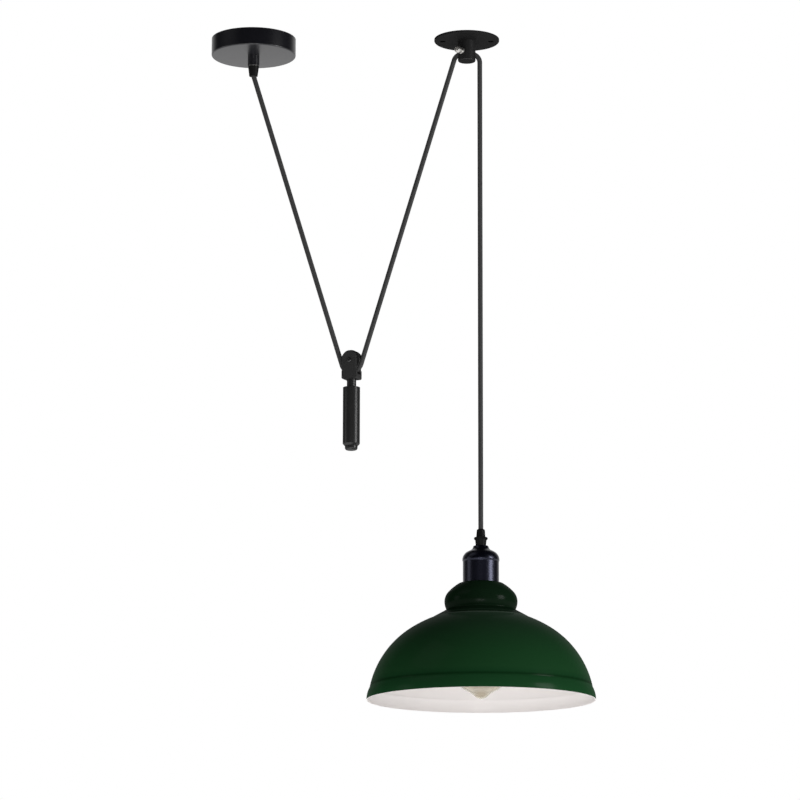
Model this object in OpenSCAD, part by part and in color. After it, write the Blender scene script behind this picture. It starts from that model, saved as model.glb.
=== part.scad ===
// Rise and fall pendant lamp.
// The flex leaves a ceiling rose, hangs in a V round the pulley of a counterweight, rises to a
// clamp boss on a second ceiling plate, and drops from there to a metal shade.
// Millimetres, Z up. The origin is the centre of the rose's top face, on the ceiling.
// X runs from the rose to the plate, and -Y is the front.

/* [Layout] */
// Distance between the centres of the rose and the ceiling plate
span = 279; // [240:1:400]
// Ceiling to the top of the lamp's cord grip
drop = 650; // [600:5:800]
// Ceiling to the pulley's axle
hang = 430.6; // [380:1:500]
// Distance from the rose's centre to the pulley's axle
pulley_x = 130.3; // [115:1:150]
// Turn of the pulley block about the vertical
yaw = 24; // [0:1:30]

/* [Flex] */
// Diameter of the sheathed flex
cord_d = 6.3; // [5:0.1:7]
// Diameter of one insulated core
core_d = 2.2; // [1.6:0.1:2.3]
// Radius of the flex where it leaves the rose's grip
grip_bend_r = 20; // [15:1:30]
// Radius of the flex where it leaves the boss
turn_r = 12; // [10:0.5:14]
// Gap between the flex and what it passes through
cord_gap = 0.35; // [0.2:0.05:0.6]

/* [Ceiling rose] */
// Height of the rose cover
rose_h = 23; // [21:1:32]
// Sheet thickness of the rose cover
rose_wall = 1.2; // [0.8:0.1:2]
// Outer radius of the rose cover's lower edge
rose_edge_r = 1.6; // [1.3:0.1:3]
// Gap between each end of the strap and the inside of the rose cover
strap_room = 3.8; // [2:0.1:12]
// Width of the strap
strap_w = 18; // [14:1:22]
// Sheet thickness of the strap
strap_t = 1.6; // [1.2:0.1:2.4]
// How far the middle of the strap stands off the ceiling
strap_rise = 8; // [7:0.5:9]
// Distance between the strap's two fixing slots
slot_spacing = 80; // [70:1:100]
// End-to-end length of a fixing slot
slot_l = 12; // [8:0.5:14]
// Width of a fixing slot
slot_w = 4.4; // [3.5:0.1:5]
// Metal between a slot and the end of the strap
slot_end = 4; // [3:0.5:8]
// Diameter of the collar nut under the rose
collar_d = 15.2; // [14:0.1:18]
// Height of the collar nut
collar_h = 13.1; // [8:0.1:20]
// Top diameter of the rose's cord grip
rose_grip_d1 = 14.3; // [13:0.1:16]
// Bottom diameter of the rose's cord grip
rose_grip_d2 = 11; // [10:0.1:13]
// Height of the rose's cord grip
rose_grip_h = 13.2; // [10:0.1:18]

/* [Threaded tubes] */
// Outside diameter of the threaded tubes
tube_d = 9.6; // [9:0.1:10]
// Wall of the threaded tubes
tube_wall = 1.2; // [0.9:0.1:1.2]
// Width across flats of the nuts on the tubes
tube_nut_af = 13; // [12:0.5:14]
// Height of the nuts on the tubes
tube_nut_h = 2.6; // [2:0.1:3]
// Side clearance between fitted pieces
fit = 0.05; // [0.02:0.01:0.1]

/* [Terminal block] */
// Distance between poles
pole_pitch = 9; // [7:0.5:10]
// Depth of the block from wire entry to wire entry
block_w = 14; // [12:0.5:18]
// Height of the block
block_h = 11; // [9:0.5:12]
// Distance from the rose's axis to the near face of the block
block_y = 17; // [16:0.5:22]
// Diameter of a wire tunnel
tunnel_d = 3.2; // [2.6:0.1:4]

/* [Ceiling plate] */
// Diameter of the plate
plate_d = 85; // [76:1:110]
// Thickness of the plate
plate_t = 3; // [2.4:0.1:5]
// Distance between the two fixing holes
hole_spacing = 63; // [50:1:66]
// Diameter of a fixing hole
hole_d = 4.6; // [3.5:0.1:5.5]
// Diameter of a fixing hole's countersink
sink_d = 8.6; // [7:0.1:9]
// Diameter of the boss
boss_d = 23; // [20:0.5:26]
// Height of the boss under the plate
boss_h = 27; // [24:0.5:34]
// Radius of the boss's lower edge
boss_edge_r = 1.5; // [0.5:0.1:3]
// Height of the flex's centre above the bottom of the boss
channel_up = 10.5; // [8:0.5:12]
// Length of the straight stretch of flex in the boss
channel_l = 10; // [6:0.5:14]

/* [Clamp screw] */
// Diameter of the clamp screw
clamp_d = 5; // [4:0.1:6]
// Diameter of the clamp screw's head
clamp_head_d = 9.6; // [8:0.1:11]
// Height of the clamp screw's head
clamp_head_h = 3.6; // [2.5:0.1:5]
// Distance from the boss's axis to the underside of the head
clamp_reach = 20.2; // [18.5:0.1:24]
// Width across flats of the lock nut
lock_af = 8; // [7.5:0.1:9]
// Height of the lock nut
lock_h = 3.6; // [2.5:0.1:4]
// Direction of the clamp screw round the boss, from +X
clamp_azimuth = 235; // [225:1:250]

/* [Pulley] */
// Distance from the axle to the centre of the flex in the groove
pitch_r = 14.4; // [13:0.1:16]
// Diameter over the pulley's flanges
pulley_d = 27.2; // [25:0.2:30]
// Thickness of the pulley
pulley_t = 9; // [8.5:0.1:9.2]
// Side room of the flex in the groove
groove_gap = 0.45; // [0.4:0.05:0.6]
// Diameter of the axle screw
axle_d = 4; // [3:0.1:5]
// Diameter of the axle screw's head
axle_head_d = 6.2; // [5.5:0.1:8]
// Height of the axle screw's head
axle_head_h = 1.6; // [1:0.1:2.5]
// Outside diameter of the pulley's bush
bush_d = 7; // [6:0.1:9]

/* [Pulley block] */
// Width of a cheek
cheek_w = 19.4; // [16:0.2:22]
// Thickness of a cheek
cheek_t = 3.2; // [2.4:0.1:4]
// Width of the slot for the pulley
slot_gap = 10; // [9.6:0.1:12]
// Height of the centre of the cheek's round top above the axle
cheek_up = 3; // [1:0.5:4]
// Extra width of the lower block on each side
step_w = 0.85; // [0.5:0.05:1.5]
// Depth of the step on the cheeks below the axle
step_down = 12; // [10:0.5:16]
// Depth of the bottom of the block below the axle
block_down = 24.3; // [23:0.1:30]
// Corner radius of the block
block_corner_r = 2; // [1:0.1:3]

/* [Counterweight] */
// Diameter of the threaded rod
rod_d = 8; // [6:0.1:9]
// Diameter of the spacer sleeve
sleeve_d = 12; // [11:0.1:14]
// Length of the spacer sleeve
sleeve_l = 10.5; // [6:0.1:20]
// Diameter of the weight
weight_d = 22; // [18:0.1:23.5]
// Length of the weight
weight_l = 76.2; // [50:0.2:110]
// Chamfer on the weight's lower edge
weight_chamfer = 2.5; // [1:0.1:3]
// Diameter of the end nut
end_d = 16.3; // [14:0.1:17]
// Height of the end nut
end_h = 5.8; // [5:0.1:9]

/* [Lamp cord grip] */
// Diameter of the grip's clamping dome
lamp_grip_d = 11.7; // [11:0.1:13]
// Height of the clamping dome
lamp_grip_h = 10.3; // [8:0.1:14]
// Diameter across the corners of the grip's flange
flange_d = 17.5; // [16:0.1:19]
// Height of the flange
flange_h = 3.2; // [2:0.1:5]
// Top diameter of the grip's foot
foot_d1 = 14.6; // [13.5:0.1:15]
// Bottom diameter of the grip's foot
foot_d2 = 13; // [12:0.1:13.4]
// Height of the grip's foot
foot_h = 7.8; // [6:0.1:12]

/* [Lampholder] */
// Height of the lampholder's cap
cap_h = 48.1; // [46:0.1:60]
// Outside diameter of the cap's skirt
cap_d = 46; // [45:0.1:46.6]
// Sheet thickness of the cap
cap_wall = 0.8; // [0.5:0.1:1]
// Outside diameter of the threaded sleeve under the shade
holder_sleeve_d = 39.8; // [38:0.1:40]
// Length of the threaded sleeve under the shade
holder_sleeve_l = 30; // [26:0.5:32]
// Inside diameter of the lamp screw shell
shell_d = 27.1; // [27:0.1:27.6]
// Outside diameter of the ring that holds the shade
ring_d = 48; // [46:0.5:50]
// Height of the ring that holds the shade
ring_h = 8; // [5:0.5:10]

/* [Shade] */
// Diameter of the shade at the rim
shade_d = 290; // [285:1:330]
// Sheet thickness of the shade
shade_wall = 1; // [0.8:0.1:1.2]
// Diameter of the bulge at the top of the shade
bulge_d = 92.8; // [92:0.2:100]
// Height of the whole shade
shade_h = 149; // [147:0.5:158]

/* [Bulb] */
// Greatest diameter of the bulb
bulb_d = 63.6; // [58:0.2:66]
// Length of the bulb from its contact to its tip
bulb_l = 140; // [138:0.5:146]
// Outside diameter of the bulb's cap
bulb_cap_d = 26.5; // [26:0.1:26.8]
// Height of the bulb's cap
bulb_cap_h = 27; // [25:0.5:28]
// Thickness of the glass
glass_wall = 0.8; // [0.6:0.1:1.2]

/* [Hidden] */
$fn = 48;

BLACK = [0.13, 0.13, 0.14];
STEEL = [0.72, 0.72, 0.70];
BRASS = [0.78, 0.62, 0.30];
NAVY = [0.10, 0.10, 0.15];
GREEN = [0.07, 0.19, 0.11];
WHITE = [0.90, 0.89, 0.86];
AMBER = [0.80, 0.66, 0.42, 0.5];

far = 400;          // longer than any piece that it cuts
skin = 0.1;         // overlap of cutting tools with the face that they open
arc_step = 6;       // degrees between the points of an outline's arcs

// Flex: where its stretches meet
tube_bore = tube_d - 2 * tube_wall;
channel_z = -(plate_t + boss_h - channel_up);
lamp_x = span + channel_l / 2 + turn_r;
washer_t = 0.6;                     // thickness of the washer over the rose's grip
rose_grip_z = -(rose_h + collar_h + washer_t + rose_grip_h);
grip_mouth_l = 3.8;                 // height of the flex's bend above the grip's mouth
grip_bend_z = rose_grip_z + grip_mouth_l;
side = [cos(yaw), -sin(yaw), 0];
axle = [pulley_x, 0, -hang];

// The rose leg leaves the pulley at phi_a below its left side, in a plane turned by azimuth_a
lean_a = atan((pulley_x - pitch_r * cos(yaw)) / (hang + grip_bend_z));
phi_a = atan(tan(lean_a) * cos(yaw));
end_a = axle - pitch_r * (cos(phi_a) * side + [0, 0, sin(phi_a)]);
azimuth_a = atan2(end_a.y, end_a.x);
run_a = [norm([end_a.x, end_a.y]) - grip_bend_r, grip_bend_z - end_a.z];
angle_a = atan2(run_a.x, run_a.y) + asin(grip_bend_r / norm(run_a));
out_a = grip_bend_r * (1 - cos(angle_a));
start_a = [out_a * cos(azimuth_a), out_a * sin(azimuth_a), grip_bend_z - grip_bend_r * sin(angle_a)];

// The boss leg leaves the pulley at phi_b below its right side
turn_x = span - channel_l / 2;
lean_b = atan((turn_x - turn_r - pulley_x - pitch_r * cos(yaw)) / (hang + channel_z - turn_r));
phi_b = atan(tan(lean_b) * cos(yaw));
end_b = axle + pitch_r * (cos(phi_b) * side - [0, 0, sin(phi_b)]);
run_b = [turn_x - end_b.x, channel_z - turn_r - end_b.z];
angle_b = atan2(run_b.x, run_b.y) - asin(turn_r / norm(run_b));
start_b = [turn_x - turn_r * cos(angle_b), 0, channel_z - turn_r * (1 - sin(angle_b))];

// Rose: heights of the pieces on its threaded tube
ear_l = slot_l + 2 * slot_end;      // flat end of the strap, against the ceiling
strap_l = slot_spacing + ear_l;
rose_d = strap_l + 2 * (strap_room + rose_wall);
rose_floor = -rose_h + rose_wall;
strap_low = -strap_rise - strap_t;
tube_proud = 0.8;                   // of the rose's threaded tube above its nut
rose_tube_top = -strap_rise + tube_nut_h + tube_proud;
collar_z = -rose_h - collar_h;
washer_edge = 1;                    // how far the grip covers the washer's edge
grip_thread_l = 4.5;                // length of threaded tube in the rose's grip
rose_tube_low = collar_z - washer_t - grip_thread_l;
bend_l = strap_rise;                // length of each sloping part of the strap
flat_l = strap_l - 2 * (ear_l + bend_l);

// Wiring: cores, terminals and their screws
sheath_up = 1;                      // from the end of the flex's sheath to the tube's top
core_ring_r = tube_bore / 2 - core_d / 2 - 0.15;
core_exits = [210, 90, 330];        // directions of the cores round the rose's axis
core_bend_r = 3;
core_over = 1.2;                    // ceiling to the cores' highest point
core_rise = 0.3;                    // straight stretch of core where it leaves the sheath
core_before = 1.8;                  // from a core's last bend to the terminal block
pole_x = [-pole_pitch, 0, pole_pitch];
block_end = 1;                      // block past the outer poles' own width
block_l = 3 * pole_pitch + block_end;
tunnel_up = 4.2;                    // a tunnel's axis above the rose's floor
tunnel_z = rose_floor + tunnel_up;
insert_wall = 1.2;
insert_d = tunnel_d + 2 * insert_wall;
insert_in = 2;                      // how far the inserts' ends lie inside the block
set_screw_d = 2.6;
set_slot_w = 0.7;
block_head_d = 3.4;
block_head_h = 1.8;
head_room = 0.2;                    // round a set screw's head and round a core
pole_slot_w = 1.2;                  // width of the grooves between the poles
earth_x = 6.5 - flat_l / 2;
earth_d = 3.5;
earth_head_d = 7;
earth_head_h = 2;
earth_past = 2.5;                   // end of the earth screw past the strap

// Ceiling plate and clamp screw
plate_edge = 0.8;                   // chamfer on the plate's lower edge
clamp_up = 1.3;                     // the clamp screw's axis above the flex's
clamp_z = channel_z + clamp_up;
clamp_tip = (cord_d / 2 + 2 * fit + clamp_d / 2 * sin(abs(270 - clamp_azimuth)))
    / cos(270 - clamp_azimuth);
lock_spot = 0.9;                    // depth of the flat spot that seats the lock nut
spot_room = 0.6;                    // round the lock nut's corners
lock_seat = boss_d / 2 - lock_spot;
cross_w = 1.3;                      // width of the cross recess in the clamp screw

// Pulley block, with its origin at the axle
block_t = slot_gap + 2 * cheek_t;
slot_below = 0.7;                   // from the flex under the pulley to the slot's floor
slot_floor = -(pitch_r + cord_d / 2 + slot_below);
rod_top = slot_floor - 1;           // top of the rod, 1 mm of block below the slot
axle_cross_w = 0.9;
bush_room = 0.2;                    // at each end of the bush
ring_in = 1.8;                      // relief in the pulley's faces, from the bush outwards
ring_w = 2.6;
ring_deep = 0.7;

// Counterweight, below the block
sleeve_z = -block_down - sleeve_l;
weight_z = sleeve_z - weight_l;
weight_top_chamfer = 0.3;
end_edge_r = 3;                     // radius of the end nut's lower edge
end_floor = 1.6;                    // thickness of the end nut under the rod
end_z = weight_z - end_h;

// Lamp, with its origin at the top of the cord grip
foot_z = -(lamp_grip_h + flange_h + foot_h);
seat_z = foot_z - cap_h;
cap_skirt_r = cap_d / 2;
cap_bead = 0.65;                    // how far the cap's bead stands out of its skirt
tube_end = 1.2;                     // of the lamp's threaded tube below its nut
lamp_tube_low = foot_z - cap_wall - tube_nut_h - tube_end;
tube_cover = 1.5;                   // dome and flange over the top of the tube
lamp_tube_top = -lamp_grip_h - tube_cover;
lamp_core_z = lamp_tube_low - 0.3;
lamp_core_r = 0.72 * core_d;        // from the lamp's axis to each core
dome_edge_r = 1.7;                  // radius of the edge of the grip's dome
dome_lean = 86;                     // heading of the dome's side

// Outline of the holder's cap, from its top down: radii of the arcs, and the headings they reach
neck_r = 8.3;
neck_edge_r = 1.6;
neck_angle = 78;
flare_r = 6.5;
cone_angle = 27;
cone_edge_r = 12;
bead_angle = 25;                    // turn of each half of the step under the bead

// Lampholder inside the cap and the shade
insert_h = 30;                      // porcelain above the shade
insert_z = seat_z + insert_h;
sleeve_low = seat_z - holder_sleeve_l;
contact_down = 7.6;                 // from the top of the shade to the bulb's contact
contact_z = seat_z - contact_down;
contact_gap = 0.1;
contact_d = 8;
contact_t = 1.2;
pocket_d = 12;                      // of the recess round the contact
pocket_up = 3;
rivet_d = 3;
rivet_head_t = 0.8;
shell_t = 0.7;
shell_top = contact_z - 0.8;
shell_lip_r = 8;
shell_up = 0.5;                     // lower edge of the shell above the porcelain's
terminal_r = 11;
terminal_size = 6;
terminal_up = 7;
wire_up = 3;                        // height of a terminal's wire hole
holder_head_d = 4;
holder_head_h = 1.4;

// Outline of the shade, from its hole outwards: radii of the arcs, and the headings they reach
hole_room = 0.3;                    // round the holder's sleeve
shade_hole_r = holder_sleeve_d / 2 + hole_room;
seat_flat = 2.3;                    // flat that shows round the holder's cap
seat_bend_r = 7;
seat_angle = 32;
crown_angle = 47;                   // the bulge's upper side
bulge_r = 18;
tuck_r = 21;                        // under the bulge
tuck_angle = 116;
crease_r = 1.6;                     // at the waist
slope_angle = 29;
slope_l = 17.4;                     // from the waist to the ridge
ridge_r = 4;
ridge_angle = 44;
dome_in_r = 3;
dome_angle = 21;
dome_mid_angle = 33;
dome_end_angle = 76.5;
rim_ridge_l = 2.4;
rim_ridge_r = 3;
rim_ridge_angle = 88;
rim_crease_r = 3.5;
rim_crease_angle = 62;
lip_r = 33;

// Shade's ring nut
ring_notch_r = 1.8;
ring_notch_out = 0.6;               // centre of a finger groove outside the ring
ring_lip = 1.5;                     // ring left above the grooves

// Bulb: its screw cap, and the glass from the neck in that cap to the tip
bulb_base_z = contact_z - bulb_cap_h;
bulb_cap_t = 0.5;
bulb_neck_r = bulb_cap_d / 2 - bulb_cap_t;
bulb_lap = 3;                       // length of glass in the cap
bulb_neck_z = bulb_base_z + bulb_lap;
bulb_button_h = 1;                  // height of the contact button
bulb_button_d1 = 9.2;
bulb_button_d2 = 7.6;
bulb_end_z = contact_z - 5;         // top of the bulb's screw cap
bulb_end_r = 11;
cap_edge = 1.5;                     // chamfer at the top of the screw cap
cap_flare = 0.2;                    // of the screw cap's lower edge
cap_flare_h = 0.8;
glass_l = bulb_l - bulb_cap_h + bulb_lap;
bulb_neck_l = bulb_lap + 1;
bulb_flare_r = 20;
bulb_side_r = 22;                   // round the widest part
bulb_side_angle = 158;
bulb_hollow_r = 30;                 // from the widest part to the tip
bulb_tip_angle = 135;
stem_l = 0.23 * glass_l;
stem_r = 1;
stem_rod_l = 0.41 * glass_l;
filament_l = 0.36 * glass_l;
filament_d = 0.7;
filament_r = 5.5;                   // radius of the ring of hooks
hub_t = 1.2;

// Outline helpers. A heading of 0 runs outwards and 90 runs down. Outside is on the left.
function ahead(h) = [cos(h), -sin(h)];
function outward(h) = [sin(h), cos(h)];

// Points of an outline made of ["line", length] and ["arc", radius, new heading] moves,
// drawn inset from it by w
function outline(p, h, moves, w = 0, i = 0) =
    i >= len(moves) ? [p - w * outward(h)] :
    moves[i][0] == "line" ?
        concat([p - w * outward(h)], outline(p + moves[i][1] * ahead(h), h, moves, w, i + 1)) :
    let (
        r = moves[i][1],
        to = moves[i][2],
        s = to > h ? 1 : -1,
        c = p - s * r * outward(h),
        n = ceil(abs(to - h) / arc_step)
    )
    concat(
        [for (k = [0:n - 1]) c + (s * r - w) * outward(h + (to - h) * k / n)],
        outline(c + s * r * outward(to), to, moves, w, i + 1)
    );

function last_of(list) = list[len(list) - 1];
function backwards(list) = [for (i = [len(list) - 1:-1:0]) list[i]];
function right_of_axis(list) = [for (p = list) [max(0, p.x), p.y]];

// A turned shell of one sheet thickness under an outline
module turned_shell(p, h, moves, wall) {
    rotate_extrude()
        polygon(right_of_axis(concat(outline(p, h, moves), backwards(outline(p, h, moves, wall)))));
}

// A round rod of [length] runs and [radius, turn, roll] bends, from the origin along +Z
module bent_rod(d, moves) {
    if (len(moves) > 0) {
        move = moves[0];
        others = [for (i = [1:1:len(moves) - 1]) moves[i]];
        if (len(move) == 1) {
            cylinder(d = d, h = move[0]);
            translate([0, 0, move[0]])
                bent_rod(d, others);
        } else {
            r = move[0];
            turn = abs(move[1]);
            way = move[1] > 0 ? 1 : -1;
            rotate([0, 0, len(move) > 2 ? move[2] : 0]) {
                translate([way * r, 0, 0])
                    rotate([90, 0, 0])
                        rotate([0, 0, way > 0 ? 180 - turn : 0])
                            rotate_extrude(angle = turn)
                                translate([r, 0])
                                    circle(d = d);
                translate([way * r * (1 - cos(turn)), 0, r * sin(turn)])
                    rotate([0, way * turn, 0])
                        bent_rod(d, others);
            }
        }
    }
}

// A straight stretch of flex between two points, run on before the first and past the second
module strand(from, to, before = 0, past = 0) {
    v = to - from;
    translate(from)
        rotate([0, acos(v.z / norm(v)), atan2(v.y, v.x)])
            translate([0, 0, -before])
                cylinder(d = cord_d, h = norm(v) + before + past);
}

// Takes away what lies within two flex diameters above the XY plane
module end_cut() {
    translate([0, 0, cord_d])
        cube([3 * cord_d, 3 * cord_d, 2 * cord_d], center = true);
}

module tube(d, bore, low, high) {
    translate([0, 0, low])
        difference() {
            cylinder(d = d, h = high - low);
            translate([0, 0, -skin])
                cylinder(d = bore, h = high - low + 2 * skin);
        }
}

// A hexagon nut with chamfered corners, standing on z = 0
module hex_nut(af, h, bore) {
    corner_r = af / 2 / cos(30);
    difference() {
        intersection() {
            cylinder(r = corner_r, h = h, $fn = 6);
            union() {
                cylinder(r1 = corner_r - h / 4, r2 = corner_r + h / 4, h = h / 2);
                translate([0, 0, h / 2])
                    cylinder(r1 = corner_r + h / 4, r2 = corner_r - h / 4, h = h / 2);
            }
        }
        translate([0, 0, -skin])
            cylinder(d = bore, h = h + 2 * skin);
    }
}

// A domed screw head on z = 0 with a cross recess
module cross_head(d, h, recess) {
    dome_r = (d * d / 4 + h * h) / (2 * h);
    difference() {
        intersection() {
            cylinder(d = d, h = h);
            translate([0, 0, h - dome_r * 1.25])
                sphere(r = dome_r * 1.25);
        }
        for (a = [45, 135])
            rotate([0, 0, a])
                translate([-d * 0.33, -recess / 2, h * 0.45])
                    cube([d * 0.66, recess, h]);
    }
}

// A slotted set screw with its point on z = 0 and its head from z = seat up
module slotted_screw(seat, head_d, head_h) {
    difference() {
        union() {
            cylinder(d = set_screw_d, h = seat + skin);
            translate([0, 0, seat])
                cylinder(d = head_d, h = head_h);
        }
        translate([-head_d, -set_slot_w / 2, seat + head_h * 0.45])
            cube([2 * head_d, set_slot_w, head_h]);
    }
}

module slot_cut(l, w) {
    for (s = [-1, 1])
        translate([s * (l - w) / 2, 0, -far / 2])
            cylinder(d = w, h = far);
    translate([-(l - w) / 2, -w / 2, -far / 2])
        cube([l - w, w, far]);
}

module rounded_rect(w, h, r) {
    for (x = [r, w - r], y = [r, h - r])
        translate([x, y])
            circle(r = r);
    translate([r, 0])
        square([w - 2 * r, h]);
    translate([0, r])
        square([w, h - 2 * r]);
}

module at_pulley() {
    translate(axle)
        rotate([0, 0, -yaw])
            children();
}

module at_clamp() {
    translate([span, 0, clamp_z])
        rotate([0, 90, clamp_azimuth])
            children();
}

module at_lamp() {
    translate([lamp_x, 0, -drop])
        children();
}

// An arc of flex in the XZ plane, from one angle round the origin to another
module flex_arc(d, r, from, to) {
    rotate([90, 0, 0])
        rotate([0, 0, from])
            rotate_extrude(angle = to - from)
                translate([r, 0])
                    circle(d = d);
}

// Flex: down through the rose's grip and out at the slope of its leg
module rose_end_path(d, top) {
    translate([0, 0, grip_bend_z])
        rotate([0, 0, azimuth_a]) {
            cylinder(d = d, h = top - grip_bend_z);
            translate([grip_bend_r, 0, 0])
                flex_arc(d, grip_bend_r, 180, 180 + angle_a);
        }
}

// Flex: up from the drop, through the boss and down to the slope of its leg
module boss_drop_bend(d) {
    translate([lamp_x - turn_r, 0, channel_z - turn_r])
        flex_arc(d, turn_r, 0, 90);
}

module boss_run(d) {
    translate([turn_x, 0, channel_z])
        rotate([0, 90, 0])
            cylinder(d = d, h = channel_l);
}

module boss_leg_bend(d) {
    translate([turn_x, 0, channel_z - turn_r])
        flex_arc(d, turn_r, 90, 180 - angle_b);
}

// Ceiling rose
module rose_cover() {
    color(BLACK)
        translate([0, 0, -rose_h])
            mirror([0, 0, 1])
                turned_shell([tube_d / 2 + fit, 0], 0, [
                    ["line", rose_d / 2 - rose_edge_r - tube_d / 2 - fit],
                    ["arc", rose_edge_r, 90],
                    ["line", rose_h - rose_edge_r]
                ], rose_wall);
}

module rose_strap() {
    half = flat_l / 2;
    color(STEEL)
        difference() {
            intersection() {
                translate([0, strap_w / 2, 0])
                    rotate([90, 0, 0])
                        linear_extrude(strap_w)
                            polygon([
                                [-strap_l / 2, 0], [-half - bend_l, 0], [-half, -strap_rise],
                                [half, -strap_rise], [half + bend_l, 0], [strap_l / 2, 0],
                                [strap_l / 2, -strap_t], [half + bend_l * 0.93, -strap_t],
                                [half - bend_l * 0.07, strap_low], [-half + bend_l * 0.07, strap_low],
                                [-half - bend_l * 0.93, -strap_t], [-strap_l / 2, -strap_t]
                            ]);
                translate([-strap_l / 2, -strap_w / 2, strap_low - skin])
                    linear_extrude(strap_rise + strap_t + 2 * skin)
                        rounded_rect(strap_l, strap_w, strap_w * 0.3);
            }
            for (s = [-1, 1])
                translate([s * slot_spacing / 2, 0, 0])
                    slot_cut(slot_l, slot_w);
            translate([0, 0, strap_low - skin])
                cylinder(d = tube_d + 2 * fit, h = strap_t + 2 * skin);
            translate([earth_x, 0, strap_low - skin])
                cylinder(d = earth_d + 2 * fit, h = strap_t + 2 * skin);
        }
}

module rose_tube() {
    color(BRASS)
        tube(tube_d, tube_bore, rose_tube_low, rose_tube_top);
}

module rose_tube_nut() {
    color(BRASS)
        translate([0, 0, -strap_rise])
            hex_nut(tube_nut_af, tube_nut_h, tube_d + 2 * fit);
}

module rose_collar() {
    color(BLACK)
        difference() {
            translate([0, 0, collar_z])
                cylinder(d = collar_d, h = collar_h);
            translate([0, 0, collar_z - skin])
                cylinder(d = tube_d + 2 * fit, h = collar_h + 2 * skin);
        }
}

module rose_grip_washer() {
    color(STEEL)
        tube(rose_grip_d1 - 2 * washer_edge, tube_d + 2 * fit, collar_z - washer_t, collar_z);
}

module rose_cord_grip() {
    color(BLACK)
        difference() {
            translate([0, 0, rose_grip_z])
                cylinder(d1 = rose_grip_d2, d2 = rose_grip_d1, h = rose_grip_h);
            translate([0, 0, rose_tube_low - fit])
                cylinder(d = tube_d + 2 * fit, h = far);
            rose_end_path(cord_d, rose_tube_top);
        }
}

module earth_screw() {
    color(STEEL)
        translate([earth_x, 0, strap_low])
            rotate([180, 0, 0]) {
                cross_head(earth_head_d, earth_head_h, axle_cross_w);
                translate([0, 0, -strap_t - earth_past])
                    cylinder(d = earth_d, h = strap_t + earth_past);
            }
}

// The block rests on the floor of the rose, with one wire tunnel and screw well for each pole
module terminal_block() {
    color(WHITE)
        difference() {
            translate([-block_l / 2, block_y, rose_floor])
                cube([block_l, block_w, block_h]);
            for (x = pole_x) {
                translate([x, block_y - skin, tunnel_z])
                    rotate([-90, 0, 0])
                        cylinder(d = tunnel_d + 2 * head_room, h = block_w + 2 * skin);
                translate([x, block_y + insert_in, tunnel_z])
                    rotate([-90, 0, 0])
                        cylinder(d = insert_d + 2 * fit, h = block_w - 2 * insert_in);
                translate([x, block_y + block_w / 2, tunnel_z])
                    cylinder(d = block_head_d + 2 * head_room, h = far);
            }
            for (x = [-pole_pitch / 2, pole_pitch / 2])
                translate([x - pole_slot_w / 2, block_y - skin, tunnel_z + insert_d / 2 + 1])
                    cube([pole_slot_w, block_w + 2 * skin, far]);
        }
}

module terminal_inserts() {
    color(BRASS)
        for (x = pole_x)
            difference() {
                translate([x, block_y + insert_in + fit, tunnel_z])
                    rotate([-90, 0, 0])
                        cylinder(d = insert_d, h = block_w - 2 * (insert_in + fit));
                translate([x, block_y, tunnel_z])
                    rotate([-90, 0, 0])
                        cylinder(d = tunnel_d, h = block_w);
                translate([x, block_y + block_w / 2, tunnel_z])
                    cylinder(d = set_screw_d + 2 * fit, h = far);
            }
}

module terminal_screws() {
    color(STEEL)
        for (x = pole_x)
            translate([x, block_y + block_w / 2, tunnel_z + core_d / 2])
                slotted_screw((insert_d - core_d) / 2 + 0.3, block_head_d, block_head_h);
}

// A core leaves the top of the threaded tube, goes over the strap and into its pole
module rose_core(pole, tint) {
    out_x = core_ring_r * cos(core_exits[pole]);
    out_y = core_ring_r * sin(core_exits[pole]);
    lift = rose_tube_top - sheath_up;
    high = -core_over - core_d / 2;
    top_bend_r = high - lift - core_rise;
    over_y = block_y - core_bend_r - core_before;
    flat = norm([pole_x[pole] - out_x, over_y - out_y]);
    heading = atan2(over_y - out_y, pole_x[pole] - out_x);
    color(tint)
        translate([out_x, out_y, lift])
            rotate([0, 0, heading])
                bent_rod(core_d, [
                    [core_rise], [top_bend_r, 90], [flat - top_bend_r - core_bend_r],
                    [core_bend_r, 90], [high - tunnel_z - 2 * core_bend_r],
                    [core_bend_r, 90, heading + 90],
                    [block_y + block_w / 2 - over_y - core_bend_r]
                ]);
}

module rose_live_core() {
    rose_core(0, [0.42, 0.24, 0.12]);
}

module rose_earth_core() {
    rose_core(1, [0.35, 0.60, 0.20]);
}

module rose_neutral_core() {
    rose_core(2, [0.15, 0.30, 0.62]);
}

module flex_rose_end() {
    color(BLACK)
        rose_end_path(cord_d, rose_tube_top - sheath_up);
}

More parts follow.
